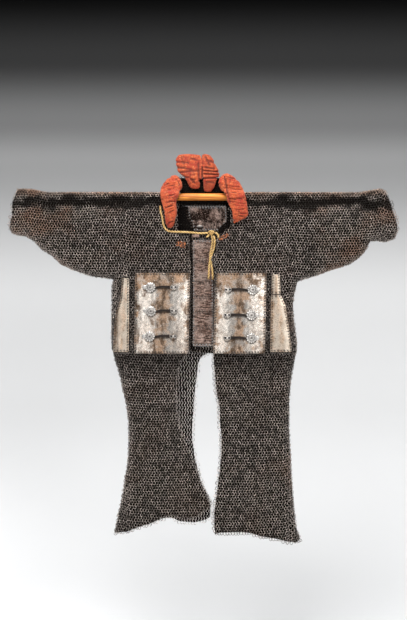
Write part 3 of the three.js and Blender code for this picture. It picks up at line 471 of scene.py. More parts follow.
ring = added(
    bpy.ops.mesh.primitive_torus_add, major_segments=6, minor_segments=3,
    major_radius=RING_MIDDLE, minor_radius=WIRE / 2 * ROUNDER,
)
RING_POINTS = points_of(ring)
RING_FACES = np.array([list(face.vertices) for face in ring.data.polygons])
bpy.data.objects.remove(ring)
print("one ring has", 2 * len(RING_FACES), "triangles")


def mesh_from(name, points, faces):
    mesh = bpy.data.meshes.new(name)
    mesh.vertices.add(len(points))
    mesh.vertices.foreach_set("co", np.ascontiguousarray(points, np.float32).ravel())
    mesh.loops.add(faces.size)
    mesh.loops.foreach_set("vertex_index", faces.astype(np.int32).ravel())
    mesh.polygons.add(len(faces))
    mesh.polygons.foreach_set("loop_start", np.arange(0, faces.size, faces.shape[1], dtype=np.int32))
    mesh.update(calc_edges=True)
    mesh.validate()
    mesh.polygons.foreach_set("use_smooth", np.ones(len(faces), bool))
    obj = bpy.data.objects.new(name, mesh)
    bpy.context.scene.collection.objects.link(obj)
    return obj


draw = np.random.default_rng(11)


def joined_rings(name, centres, outward, upward, lean, shade=1.0):
    """One mesh of rings. outward and upward give the cloth's slope, and lean turns a ring about upward."""
    count = len(centres)
    centres = centres + draw.normal(0, ASTRAY, (count, 3))
    lean = (lean + draw.normal(0, LEAN_ASTRAY, count))[:, None]
    sideways = unit(np.cross(upward, outward))
    upward = unit(np.cross(outward, sideways))
    tip = draw.normal(0, TIP_ASTRAY, count)[:, None]
    axis = unit(outward * np.cos(lean) + sideways * np.sin(lean) + upward * np.sin(tip))
    first = unit(upward - axis * np.sum(upward * axis, axis=1, keepdims=True))
    second = np.cross(axis, first)
    turns = np.stack([first, second, axis], axis=1)
    around = np.einsum("vk,nkc->nvc", RING_POINTS, turns)
    points = centres[:, None, :] + around
    faces = RING_FACES[None] + (np.arange(count) * len(RING_POINTS))[:, None, None]
    obj = mesh_from(name, points.reshape(-1, 3), faces.reshape(-1, RING_FACES.shape[1]))
    point_values(obj, "ring_tone", np.repeat(draw.random(count) * shade, len(RING_POINTS)))
    inner = 0.5 - np.einsum("nvc,nc->nv", around, outward) / INNER_DEPTH
    point_values(obj, "inner_side", np.clip(inner, 0, 1).ravel())
    return obj


def slopes(face, x, z, step=0.8 * MM):
    """The cloth's outward direction and its upward direction at each place."""

    def middle(xs, zs):
        return on_shirt(face, xs, zs, RING_DEPTH)

    drop = read(RIDGE, x) - z
    rise = np.minimum(step, drop)
    upward = unit(middle(x, z + rise) - middle(x, z - step))
    sideways = unit(middle(x + step, z) - middle(x - step, z))
    return unit(np.cross(sideways, upward)) * -face.sign, upward


def rings_at(name, face, x, z, rows, shade=1.0):
    outward, upward = slopes(face, x, z)
    lean = np.where(rows % 2 == 0, LEAN, -LEAN)
    return joined_rings(name, on_shirt(face, x, z, RING_DEPTH), outward, upward, lean, shade)


# %% [markdown]
# ## Panels of mail
#
# Behind the rings each panel has a thin dark web. It stands for the shade between the rings, where
# in a real shirt the second layer and its shadow close every gap. It follows the same form, a little
# deeper than the rings, and ends short of each free edge, so that the edge is made of rings alone.

# %% Webs and rings of the panels
WEB_DEPTH = 2.2 * MM
WEB_WALL = 0.5 * MM
WEB_GRID = 8 * MM
WEB_TRIM = 4 * MM
JOIN_TRIM = -1.5 * MM  # a web goes on a little under the next panel or plate
HEM_SHADE = 16 * MM
STRIP_SHADES = {"strip_right": 0.8, "strip_left": 0.4}
FREE_EDGED = ("chest", "skirt")
pieces = {}


def sheet_of(name, points):
    """A grid of faces on rows of points. The first row is the lowest, so the faces look forward."""
    rows, columns = points.shape[:2]
    grid = {"x_subdivisions": columns - 1, "y_subdivisions": rows - 1}
    obj = added(bpy.ops.mesh.primitive_grid_add, name, size=1, **grid)
    move_points(obj, points.reshape(-1, 3))
    bpy.ops.object.shade_smooth()
    return obj


def panel_points(panel, depth, trim):
    """Points over the panel, from the foot up."""
    top = panel.top - (0 if panel.top >= RIDGE_ROUND else 0.2 * MM)
    foot = panel.foot if panel.hem is None else panel.hem[:, 1].min()
    share = np.linspace(0, 1, max(int((top - foot) / WEB_GRID), 8))
    if panel.top >= RIDGE_ROUND:
        share = np.sin(share * math.pi / 2)
    heights = foot + (top - foot) * share
    if panel.hem is None:
        for edge in (panel.left, panel.right):
            if edge is not None:
                inner = edge[(edge[:, 0] > foot) & (edge[:, 0] < top), 0]
                heights = np.unique(np.concatenate([heights, inner]))

    def left_of(z):
        side = np.where(z > ARMPIT_RIGHT_Z, ARM_RIGHT_X, read(SIDE_RIGHT, z))
        return side if panel.left is None else read(panel.left, z) + trim

    def right_of(z):
        side = np.where(z > ARMPIT_LEFT_Z, ARM_LEFT_X, read(SIDE_LEFT, z))
        return side if panel.right is None else read(panel.right, z) - trim

    columns = max(int(np.max(right_of(heights) - left_of(heights)) / WEB_GRID), 5)
    across = np.linspace(0, 1, columns)
    if panel.left is None:
        across = 1 - np.cos(across * math.pi / 2)
    if panel.right is None:
        across = np.sin(across * math.pi / 2)
    z = np.repeat(heights[:, None], columns, axis=1)
    x = left_of(z) + (right_of(z) - left_of(z)) * across
    if panel.hem is not None:
        for _ in range(6):
            shift = read(panel.hem, x) + trim - foot
            z = heights[:, None] + shift * ((top - heights) / (top - foot))[:, None]
            x = left_of(z) + (right_of(z) - left_of(z)) * across
    return on_shirt(panel.face, x, z, depth)


def make_panel(name, panel):
    x, z, rows = PLACES[panel.face.sign]
    there = on_panel(panel, x, z)
    x, z, rows = x[there], z[there], rows[there]
    shade = STRIP_SHADES.get(name, 1.0)
    if panel.hem is not None:
        shade = np.clip((z - read(panel.hem, x)) / HEM_SHADE, 0.2, 1)
    rings = rings_at(name + "_rings", panel.face, x, z, rows, shade)
    points = panel_points(panel, WEB_DEPTH, WEB_TRIM if name.startswith(FREE_EDGED) else JOIN_TRIM)
    web = sheet_of(name + "_web", points if panel.face is FRONT else points[::-1])
    apply_modifier(web, "SOLIDIFY", thickness=WEB_WALL, offset=-1)
    pieces[name] = (web, rings, int(there.sum()))


for name, panel in PANELS.items():
    make_panel(name, panel)
print("rings on the panels:", sum(count for _, _, count in pieces.values()))

# %% [markdown]
# ## Sleeves
#
# A sleeve is a flattened tube of mail, open at the cuff. Its front and back rings come from the two
# layers. Its web goes once round, over the ridge and under the arm, so that it has no seam there.

# %% Sleeves
SLEEVE_AROUND, SLEEVE_ALONG = 15, 46  # points of a web down one layer, and from seam to cuff
CUFF_SHORT = 0.992  # a web ends a little inside the cuff
SEAM_MERGE = 0.02 * MM


def sleeve_web(name, seam_x, cuff, bottom):
    cuff_top, cuff_foot = cuff[0, 0], cuff[-1, 0]
    share = (1 - np.cos(np.linspace(0, math.pi, SLEEVE_AROUND))) / 2
    cuff_x = read(cuff, cuff_top + (cuff_foot - cuff_top) * share)
    along = np.linspace(0, CUFF_SHORT, SLEEVE_ALONG)[:, None]
    x = seam_x + (cuff_x - seam_x) * along
    top, foot = read(RIDGE, x), read(bottom, x)
    z = top + (foot - top) * share
    front = on_shirt(FRONT, x, z, WEB_DEPTH)
    back = on_shirt(BACK, x, z, WEB_DEPTH)
    points = np.concatenate([front, back[:, -2::-1]], axis=1)
    web = sheet_of(name + "_web", points)
    with editing(web):
        bpy.ops.mesh.remove_doubles(threshold=SEAM_MERGE)
        bpy.ops.mesh.normals_make_consistent(inside=False)
    apply_modifier(web, "SOLIDIFY", thickness=WEB_WALL, offset=-1)
    return web


def make_sleeve(name, side, seam_x, cuff, bottom, armpit_z):
    parts = []
    count = 0
    for face in (FRONT, BACK):
        x, z, rows = PLACES[face.sign]
        there = (x * side > seam_x * side) & (z > armpit_z) & (from_edge(x, z)[0] > 0)
        there &= x * side < read(cuff, z) * side
        parts.append(rings_at(name + "_rings", face, x[there], z[there], rows[there]))
        count += int(there.sum())
    select_only(*parts)
    bpy.ops.object.join()
    parts[0].name = parts[0].data.name = name + "_rings"
    pieces[name] = (sleeve_web(name, seam_x, cuff, bottom), parts[0], count)


make_sleeve("sleeve_right", -1, ARM_RIGHT_X, CUFF_RIGHT, SLEEVE_RIGHT_BOTTOM, ARMPIT_RIGHT_Z)
make_sleeve("sleeve_left", 1, ARM_LEFT_X, CUFF_LEFT, SLEEVE_LEFT_BOTTOM, ARMPIT_LEFT_Z)
print("rings in all:", sum(count for _, _, count in pieces.values()))

# %% [markdown]
# ## The neck stand
#
# Behind the neck a band of mail stands up behind the rod, and carries the collar. It is the one piece
# of mail that doesn't hang, so it has a plain form of its own that leans back a little towards its top.

# %% Neck stand
STAND_LEFT, STAND_RIGHT = -61.7 * MM, 55.7 * MM
STAND_FOOT, STAND_TOP = -22 * MM, 52 * MM


def stand_face(z):
    return ROD_RADIUS + 0.6 * MM + np.maximum(0, z - 20 * MM) * 0.08


def stand_points(x, z, depth):
    return np.stack([x, stand_face(z) + MAIL_WALL - depth, z], -1)


stand_rows = np.arange(12)
stand_z = STAND_TOP - RING_MIDDLE - stand_rows * RING_DOWN
stand_x = STAND_LEFT + 2 * MM + np.arange(17) * RING_ACROSS
x, z = np.meshgrid(stand_x, stand_z)
x = x + (stand_rows % 2)[:, None] * RING_ACROSS / 2 + 1.5 * MM * np.sin(z * 60)
lean = np.where(stand_rows % 2 == 0, LEAN, -LEAN)[:, None] + 0 * x
centres = stand_points(x, z, RING_DEPTH).reshape(-1, 3)
behind = np.tile([0.0, 1.0, 0.0], (len(centres), 1))
above = np.tile([0.0, 0.0, 1.0], (len(centres), 1))
stand_rings = joined_rings("neck_stand_rings", centres, behind, above, lean.ravel())
x, z = np.meshgrid(
    np.linspace(STAND_LEFT, STAND_RIGHT, 20),
    np.linspace(STAND_TOP - WEB_TRIM, STAND_FOOT, 14),
)
stand_web = sheet_of("neck_stand_web", stand_points(x, z, RING_DEPTH))
apply_modifier(stand_web, "SOLIDIFY", thickness=WEB_WALL, offset=0)
pieces["neck_stand"] = (stand_web, stand_rings, len(centres))
print("rings on the stand:", len(centres))

# %% [markdown]
# ## Plates
#
# The waist is covered by iron plates, each bowed a little across its width by the smith, with a row of
# small holes along every edge. The rings beside a plate pass through those holes. A plate is a sheet
# laid on the mail's form and lifted into its bow, given a wall, a softened edge and its holes. The faint
# dents of the hammer are in the points themselves, because they bend the light on bright metal.

# %% Plates and their holes
PLATE_WALL = 1.6 * MM
PLATE_PROUD = 1.15 * MM
CORNER = 3 * MM
HOLE_IN = 3.2 * MM
HOLE_RADIUS = 1.6 * MM
HOLE_DARK_REACH = 1.9 * MM
BIG_CROWN, SIDE_CROWN = 7 * MM, 1.5 * MM
DENT = 0.16 * MM
LINK_SHADE = 0.12
EYE_REACH = 9.2 * MM  # from the tip of a bar to the middle of its eye
DRILL_LENGTH = 5 * MM
EDGE_SOFT = 0.4 * MM

# A painted shadow lies round the lower half of a clasp's rosette and eye, and in a line under its bar.
CLASP_SHADOW_RADII = ((12.3 * MM, 8 * MM), 1.7 * MM)  # radii at the rosette and the eye, and spread
CLASP_SHADOW_DROP = 1.2 * MM
CLASP_SHADOW_FADE = 18 * MM
BAR_SHADOW = (3.4 * MM, 3 * MM, 2.4 * MM)  # how far under the bar's two ends, and spread


# Each clasp has its rivet at x and z, and the tip of its bar at another x, in millimetres.
Clasp = namedtuple("Clasp", "x z tip")
CLASPS = {
    "right": (PLATE_RIGHT, [Clasp(-133.5, -226, -85), Clasp(-132, -285, -84), Clasp(-135, -348, -86)]),
    "left": (PLATE_LEFT, [Clasp(121, -232, 69), Clasp(118, -295, 67), Clasp(118, -352, 67)]),
}


def bowed(edges, crown):
    def place(x, z, inset=0.0):
        left, right = read(edges, z, 1), read(edges, z, 2)
        across = np.clip(2 * (x - left) / (right - left) - 1, -1, 1)
        points = on_shirt(FRONT, x, z)
        points[..., 1] -= PLATE_PROUD + crown * (1 - across**2) - inset
        return points

    return place


def behind_neck(lift):
    def place(x, z, inset=0.0):
        points = on_shirt(BACK, x, z)
        points[..., 1] += lift(z) - inset
        return points

    return place


def painted_clasp_shadows(clasps):
    """Painted shadow under the clasps of a plate, from 0 to 1."""

    def at(x, z):
        most = np.zeros(len(x))
        for clasp in clasps:
            rivet, level, tip = (value * MM for value in clasp)
            below = np.clip(0.55 - (z - level) / CLASP_SHADOW_FADE, 0, 1)
            eye = tip + math.copysign(EYE_REACH, tip - rivet)
            radii, spread = CLASP_SHADOW_RADII
            for middle, radius in zip((rivet, eye), radii):
                far = np.hypot(x - middle, z - level + CLASP_SHADOW_DROP)
                most = np.maximum(most, below * np.exp(-(((far - radius) / spread) ** 2)))
            start, end, spread = BAR_SHADOW
            bar = np.hypot(*to_segment(x, z, rivet, level - start, tip, level - end))
            most = np.maximum(most, 0.9 * np.exp(-((bar / spread) ** 2)))
        return most

    return at


def round_corner(to_end):
    return CORNER - np.sqrt(np.maximum(CORNER**2 - np.maximum(CORNER - to_end, 0) ** 2, 0))


drill = added(bpy.ops.mesh.primitive_cylinder_add, vertices=8, radius=HOLE_RADIUS, depth=DRILL_LENGTH)
apply_modifier(drill, "TRIANGULATE")
DRILL_POINTS = points_of(drill)
DRILL_FACES = np.array([list(face.vertices) for face in drill.data.polygons])
bpy.data.objects.remove(drill)


def edge_places(place, edges, top, foot):
    """Places round a plate's edge, one a ring apart: x, z, and the direction out of the plate."""
    spots = []
    for side, outward in ((1, -1), (2, 1)):
        heights = np.arange(top - 1.2 * RING_ACROSS, foot + 0.9 * RING_ACROSS, -RING_ACROSS)
        spots += [(float(read(edges, z, side)), z, outward, 0) for z in heights]
    for end, outward in ((top, 1), (foot, -1)):
        left, right = read(edges, end, 1), read(edges, end, 2)
        count = int((right - left) / RING_ACROSS)
        spots += [(x, end, 0, outward) for x in np.linspace(left + CORNER, right - CORNER, count)]
    return np.array(spots)


def facing(place, x, z, step=0.5 * MM):
    across = place(x + step, z) - place(x - step, z)
    up = place(x, z + step) - place(x, z - step)
    return unit(np.cross(across, up))


def make_plate(name, place, edges, looks=-1, columns=60, rows=80, shade_and_grime=lambda x, z: 0 * x):
    """A plate on its place function, with holes and link rings. looks is -1 where it faces forward."""
    top, foot = edges[:, 0].max(), edges[:, 0].min()
    near = CORNER * np.array([0, 0.12, 0.3, 0.6, 1])
    middle = np.linspace(foot + CORNER, top - CORNER, rows - 8)[1:-1]
    heights = np.concatenate([foot + near, middle, (top - near)[::-1]])
    corner = round_corner(np.minimum(heights - foot, top - heights))
    left, right = read(edges, heights, 1) + corner, read(edges, heights, 2) - corner
    x = left[:, None] + (right - left)[:, None] * np.linspace(0, 1, columns)
    z = np.repeat(heights[:, None], columns, axis=1)
    dents = np.sin(x * 310 + 2 * np.sin(z * 190)) * np.sin(z * 260 + 2 * np.sin(x * 150))
    points = place(x, z)
    points[..., 1] += DENT * dents
    plate = sheet_of(name + "_plate", points if looks < 0 else points[::-1])
    apply_modifier(plate, "SOLIDIFY", thickness=PLATE_WALL, offset=-1)
    apply_modifier(plate, "BEVEL", width=EDGE_SOFT, segments=2, limit_method="ANGLE", angle_limit=1)
    spots = edge_places(place, edges, top, foot)
    x, z = spots[:, 0], spots[:, 1]
    out_x, out_z = spots[:, 2], spots[:, 3]
    holes = place(x - out_x * HOLE_IN, z - out_z * HOLE_IN, PLATE_WALL / 2)
    normal = facing(place, x - out_x * HOLE_IN, z - out_z * HOLE_IN)
    along = unit(np.cross(normal, [1.0, 0.02, 0.0]))
    turns = np.stack([along, np.cross(normal, along), normal], axis=1)
    points = holes[:, None, :] + np.einsum("vk,nkc->nvc", DRILL_POINTS, turns)
    faces = DRILL_FACES[None] + (np.arange(len(holes)) * len(DRILL_POINTS))[:, None, None]
    drills = mesh_from("drills", points.reshape(-1, 3), faces.reshape(-1, 3))
    cut = {"object": drills, "operation": "DIFFERENCE", "solver": "EXACT", "use_self": True}
    apply_modifier(plate, "BOOLEAN", **cut)
    bpy.data.objects.remove(drills)
    select_only(plate)
    bpy.ops.object.shade_smooth_by_angle(angle=math.radians(35))
    # Darkened round each hole, with the painted shadows of the clasps or the lames' dark lines.
    made = points_of(plate)
    off = made[:, None] - holes[None]
    to_hole = np.hypot(off[..., 0], off[..., 2]).min(axis=1)
    shadow_and_dirt = np.maximum(np.exp(-((to_hole / HOLE_DARK_REACH) ** 2)), shade_and_grime(made[:, 0], made[:, 2]))
    point_values(plate, "shade_and_grime", shadow_and_dirt)
    outside = np.stack([out_x, 0 * out_x, out_z], -1)
    reach = RING_MIDDLE - HOLE_IN
    centres = place(x, z, PLATE_WALL / 2) + outside * reach
    lean = np.full(len(centres), LINK_LEAN)
    link_rings = joined_rings(name + "_links", centres, normal, outside, lean, LINK_SHADE)
    return plate, link_rings


plates = {}
SIDE_PLATES = {
    "plate_side_right": SIDE_PLATE_RIGHT,
    "plate_side_left_upper": SIDE_PLATE_LEFT_UPPER,
    "plate_side_left_lower": SIDE_PLATE_LEFT_LOWER,
}
for side, (edges, row) in CLASPS.items():
    name = f"plate_front_{side}"
    plates[name] = make_plate(name, bowed(edges, BIG_CROWN), edges, shade_and_grime=painted_clasp_shadows(row))
for name, edges in SIDE_PLATES.items():
    plates[name] = make_plate(name, bowed(edges, SIDE_CROWN), edges, columns=12, rows=40)
print("front plates:", len(plates))

# %% [markdown]
# ## Neck plate and spine lames
#
# Through the open front the inside of the back shows: a shield-shaped plate under the neck, and below
# it a column of overlapping lames, each tilted so that its foot lies over the next one's head.

# %% Back plates
LAME_TOPS = np.array([-107.6, -160, -212, -249, -287, -326]) * MM
LAME_OVERLAP = 5 * MM
LAME_CLEAR = 0.6 * MM
LAME_TILT = 2.6 * MM
LAME_SUNK = 1 * MM
LAME_GRIME = 1.4 * MM


def tilted(top, foot):
    return lambda z: LAME_TILT * (top - z) / (top - foot) - LAME_SUNK


def line_at(level):
    return lambda x, z: np.exp(-(((z - level) / LAME_GRIME) ** 2))


level = behind_neck(lambda z: 0 * z)
plates["neck_plate"] = make_plate("neck_plate", level, NECK_PLATE, looks=1, columns=30, rows=36)
LAME_FEET = [*(LAME_TOPS[1:] - LAME_OVERLAP), SPINE_FOOT + LAME_CLEAR]
for i, (top, foot) in enumerate(zip(LAME_TOPS, LAME_FEET)):
    edges = np.array([(top, SPINE_LEFT, SPINE_RIGHT), (foot, SPINE_LEFT, SPINE_RIGHT)])
    name, form = f"spine_lame_{i + 1}", behind_neck(tilted(top, foot))
    shade_and_grime = line_at(foot + LAME_OVERLAP)
    plates[name] = make_plate(name, form, edges, looks=1, columns=18, rows=40, shade_and_grime=shade_and_grime)
print("plates in all:", len(plates))

# %% [markdown]
# ## Clasps
#
# Each clasp has a hasp, which is a bar with a lobed tail, riveted down under a scalloped rosette, and a
# double eye that takes its tip. Each part is modelled once, lying flat with its outside towards +Z, and
# copied to six places. There its points are moved onto the bow of the plate.

# %% Clasp parts, modelled once
ROSETTE_RADIUS = 12 * MM
ROSETTE_WALL = 1.6 * MM
PETALS = 12
# Each step of a disc's top: how far it is inset, and then how far it is lifted.
ROSETTE_STEPS = table(
    (1.2, 0.5), (1.6, -0.3), (1.4, 0.7), (3.6, 0.3), (1.2, -0.35), (0.05, 1.3), (0.9, 0.6), (1.2, 0.25)
)
TAIL_STEPS = table((1, 0.4), (1.6, 0.5))
SADDLE_STEPS = table((0.5, 0.9), (0.9, 0.4))
TAIL_RADIUS, SADDLE_RADIUS = 5.5 * MM, 2.6 * MM
SADDLE_WALL = 1.4 * MM
TAIL_REACH = 14 * MM
BAR_WIDTH = 6.2 * MM
BAR_WALL = 2.6 * MM
BAR_ARCH = 6 * MM
BAR_RISE = 1.4 * MM
BAR_WORN, EYE_WORN = 0.03, 0.45  # from 0, black, to 1, bright
EYE_RADIUS = 3.3 * MM
EYE_WIRE = 1.15 * MM
EYE_APART = 8.6 * MM
EYE_FLOOR = 0.8 * MM

# Where a disc is darkened, in shares of its radius: between its petals and in a line inside its rim, as
# painted shade, and in a hollow at its middle.
VALLEY_FROM = 0.82
LINE_AT, LINE_WIDE, LINE_DARK = 0.66, 0.06, 0.75
HOLLOW_WIDE, HOLLOW_DARK = 0.26, 0.95


def top_face_only(obj):
    bpy.ops.object.mode_set(mode="OBJECT")
    for part in (*obj.data.vertices, *obj.data.edges, *obj.data.polygons):
        part.select = False
    upward = [face for face in obj.data.polygons if face.normal.z > 0.5]
    min(upward, key=lambda face: round(face.center.xy.length, 6)).select = True
    bpy.ops.object.mode_set(mode="EDIT")
    bpy.ops.mesh.select_mode(type="FACE")


def stepped_disc(radius, wall, steps, petals, depth):
    """A round disc whose top is inset and lifted in steps, with a petalled rim."""
    round_form = {"vertices": 6 * petals, "radius": radius, "depth": wall}
    disc = added(bpy.ops.mesh.primitive_cylinder_add, location=(0, 0, wall / 2), **round_form)
    bpy.ops.object.transform_apply()
    bpy.ops.object.mode_set(mode="EDIT")
    for inset, lift in steps:
        top_face_only(disc)
        bpy.ops.mesh.inset(thickness=inset)
        bpy.ops.transform.translate(value=(0, 0, lift))
    bpy.ops.object.mode_set(mode="OBJECT")
    points = points_of(disc)
    reach = np.hypot(points[:, 0], points[:, 1])
    angle = np.arctan2(points[:, 1], points[:, 0])
    petal = np.abs(np.cos(angle * petals / 2))
    ruffle = 1 + depth * (petal - 0.6) * np.clip(reach / radius, 0, 1) ** 2
    points[:, :2] *= ruffle[:, None]
    move_points(disc, points)
    valley = np.clip(1.6 - 2.2 * petal, 0, 1) * (reach > VALLEY_FROM * radius)
    hollow = HOLLOW_DARK * np.exp(-((reach / (HOLLOW_WIDE * radius)) ** 2))
    rim_line = LINE_DARK * np.exp(-(((reach / radius - LINE_AT) / LINE_WIDE) ** 2))
    # The disc's side and underside are painted dark, as painted shade.
    below = 0.8 * (points[:, 2] < 0.5 * wall)
    point_values(disc, "wear_and_shade", np.clip(1 - valley - rim_line - hollow - below, 0, 1))
    return disc


def make_rosette():
    return stepped_disc(ROSETTE_RADIUS, ROSETTE_WALL, ROSETTE_STEPS, PETALS, 0.14)


def make_hasp(length):
    tail = stepped_disc(TAIL_RADIUS, ROSETTE_WALL, TAIL_STEPS, 7, 0.22)
    move_points(tail, points_of(tail) + [-TAIL_REACH, 0, 0])
    bar = added(bpy.ops.mesh.primitive_cube_add, size=1)
    move_points(bar, (points_of(bar) + [0.5, 0, 0.5]) * [length, BAR_WIDTH, BAR_WALL])
    with editing(bar):
        bpy.ops.mesh.subdivide(number_cuts=9)
    points = points_of(bar)
    share = points[:, 0] / length
    waisted = 1 - 0.12 * np.sin(math.pi * np.clip(share, 0, 1))
    points[:, 1] *= waisted + 0.5 * np.clip(share * 8 - 7, 0, 1)
    points[:, 2] *= 1 + 0.5 * np.sin(math.pi * share)
    point_values(bar, "wear_and_shade", np.full(len(points), BAR_WORN))
    arch = np.clip(1 - share / 0.6, 0, 1) ** 1.3 + 0.25 * np.clip(share * 4 - 3, 0, 1)
    points[:, 1] -= BAR_ARCH * arch - BAR_RISE
    move_points(bar, points)
    soft = {"width": 0.5 * MM, "segments": 2, "angle_limit": math.radians(50)}
    apply_modifier(bar, "BEVEL", limit_method="ANGLE", **soft)
    select_only(bar, tail)
    bpy.ops.object.join()
    return bar


def make_eye():
    """Two rings side by side, each closed by a dark disc as painted shade, with a saddle between them."""
    parts = []
    for middle in (-EYE_APART / 2, EYE_APART / 2):
        parts.append(added(
            bpy.ops.mesh.primitive_torus_add, location=(middle, 0, EYE_WIRE),
            major_radius=EYE_RADIUS, minor_radius=EYE_WIRE, major_segments=22, minor_segments=8,
        ))
        bpy.ops.object.transform_apply()
        point_values(parts[-1], "wear_and_shade", np.full(len(parts[-1].data.vertices), EYE_WORN))
        parts.append(added(
            bpy.ops.mesh.primitive_cylinder_add, location=(middle, 0, EYE_FLOOR / 2),
            vertices=16, radius=EYE_RADIUS - EYE_WIRE / 2, depth=EYE_FLOOR,
        ))
        bpy.ops.object.transform_apply()
    parts.append(stepped_disc(SADDLE_RADIUS, SADDLE_WALL, SADDLE_STEPS, 4, 0.1))
    select_only(*parts)
    bpy.ops.object.join()
    return parts[0]


# %% Six clasps in place
HASP_LIFT = 1.0 * MM
ROSETTE_LIFT = 3.4 * MM
EYE_LIFT = 0.3 * MM


def set_on_plate(part, name, place, x, z, direction, lift):
    """Moves a flat part onto the plate: its +X runs along the clasp and its +Z out of the plate."""
    local = points_of(part)
    px, pz = x + local[:, 0] * direction, z + local[:, 1]
    points = place(px, pz)
    points[:, 1] -= lift + local[:, 2]
    move_points(part, points)
    part.name = part.data.name = name
    fixed_normals(part)
    bpy.ops.object.shade_smooth_by_angle(angle=math.radians(30))
    return part


clasps = {}
for side, (edges, row) in CLASPS.items():
    place = bowed(edges, BIG_CROWN)
    for number, clasp in enumerate(row, start=1):
        x, z, tip = (value * MM for value in clasp)
        direction = math.copysign(1, tip - x)
        name = f"clasp_{side}_{number}"
        parts = {
            "hasp": (make_hasp(abs(tip - x)), x, HASP_LIFT),
            "rosette": (make_rosette(), x, ROSETTE_LIFT),
            "eye": (make_eye(), tip + direction * EYE_REACH, EYE_LIFT),
        }
        for kind, (part, at_x, lift) in parts.items():
            clasps[f"{name}_{kind}"] = set_on_plate(
                part, f"{name}_{kind}_form", place, at_x, z, direction, lift
            )
print("clasp parts:", len(clasps))

# %% [markdown]
# ## The padded collar
#
# The collar is cotton padding in a red cloth cover, in four parts: two halves that stand behind the
# neck, and two lobes that come over the rod and down the front. Each part starts as a ball of faces
# drawn onto its rows, a little too thin. It is remeshed evenly, and blown up from inside as cloth, so
# that the cover is tight in the middle and slack near its seams. The creases are pushed in afterwards.

# %% Collar forms
COLLAR_ROWS = {
    "collar_stand_right": table(
        (109, -66, -9, 4), (106, -70, -4, 9), (94, -73, -2.5, 13), (76, -68, -1.5, 14),
        (64, -65, -1, 14), (54, -55, -1.5, 13), (48, -50, -2, 13), (43, -46, -8.5, 13),
        (35, -42.5, -8.5, 12), (24, -37, -9, 10), (19, -31, -11, 5),
    ),
    "collar_stand_left": table(
        (109, -6, 10, 4), (106, -7.5, 17, 9), (95, -7.5, 24, 13), (84, -8, 28, 14), (74, -8.5, 33, 14),
        (64, -8.5, 37, 13), (54, -8, 37, 13), (48.5, -7.5, 35, 13), (47, -2.5, 33, 13),
        (36, -2.5, 30, 12), (24, -2, 27, 11), (15, -1, 21, 8), (11, 2, 16, 5),
    ),
    "collar_lobe_right": table(
        (55.5, -77, -69, 5), (50, -87, -61.5, 14), (40, -97, -56, 21), (31, -103.5, -53.5, 24),
        (21, -108.5, -55, 25), (13, -109, -60.5, 25), (2, -108.5, -61.5, 24), (-12, -106, -68, 23),
        (-25, -102.5, -67.5, 22), (-36, -99.5, -66.5, 22), (-48, -98, -68, 21), (-59, -97, -72, 19),
        (-72, -94.5, -75, 14), (-80, -89, -80.5, 6),
    ),
    "collar_lobe_left": table(
        (60, 52, 62, 5), (53, 43.5, 71, 14), (46, 37, 81.5, 20), (36, 35, 89.5, 24), (27, 37.5, 94, 25),
        (17, 42, 98.5, 25), (9, 54, 101, 25), (-2, 57, 103, 24), (-15, 60, 105.5, 23),
        (-26, 64, 108, 22), (-35, 67.5, 109.5, 22), (-46, 70, 111, 20), (-54, 70.5, 105, 17),
        (-60, 71, 91, 12), (-67, 72, 80, 6),
    ),
}
PAD_REST = 2.5 * MM
PAD_SHRINK = 0.98
PAD_OVERLAP = 0.8 * MM
PAD_LEAST = 9 * MM
SOFTEN, BLUNT = 0.6, 0.1  # powers that make a ball's section boxy, and its two ends full
VOXEL = 3.5 * MM
PRESSURE = 4.0
LAST_FRAME = 20
MOST_SWELL = 5 * MM


def lobe_rest(x, z):
    """Where a lobe's back rests: on the mail below the ridge, rolled over the ridge, upright above it."""
    clear = RIDGE_ROUND + PAD_REST
    over_ridge = -np.sqrt(np.maximum(clear**2 - np.maximum(z, 0) ** 2, 0))
    on_mail = np.minimum(on_shirt(FRONT, x, np.minimum(z, 0))[..., 1] - PAD_REST, over_ridge)
    return np.where(z > clear, 0.1 * (z - clear), np.where(z > 0, over_ridge, on_mail))


def soft(value):
    return np.sign(value) * np.abs(value) ** SOFTEN


def pad_form(name, rows):
    """A ball of faces drawn onto the rows of z, left, right and thickness."""
    pad = added(bpy.ops.mesh.primitive_uv_sphere_add, name + "_pad", segments=40, ring_count=36, radius=1)
    ball = points_of(pad)
    share = np.arccos(np.clip(ball[:, 2], -1, 1)) / math.pi
    top, foot = rows[0, 0], rows[-1, 0]
    z = top + (foot - top) * share
    left, right, thick = (read(rows, z, column) for column in (1, 2, 3))
    thick = np.maximum(thick, PAD_LEAST)
    angle = np.arctan2(ball[:, 1], ball[:, 0])
    rim = np.sqrt(np.clip(1 - ball[:, 2] ** 2, 0, 1)) ** BLUNT
    x = (left + right) / 2 + soft(np.cos(angle)) * ((right - left) / 2 + PAD_OVERLAP) * rim
    if "lobe" in name:
        rest = np.minimum(lobe_rest(left, z), lobe_rest(right, z))
        rest = np.minimum(rest, lobe_rest((left + right) / 2, z))
    else:
        rest = stand_face(z) - 0.5 * MM
    y = rest - thick / 2 + soft(np.sin(angle)) * thick / 2 * PAD_SHRINK * rim
    move_points(pad, np.stack([x, y, z], -1))
    return pad


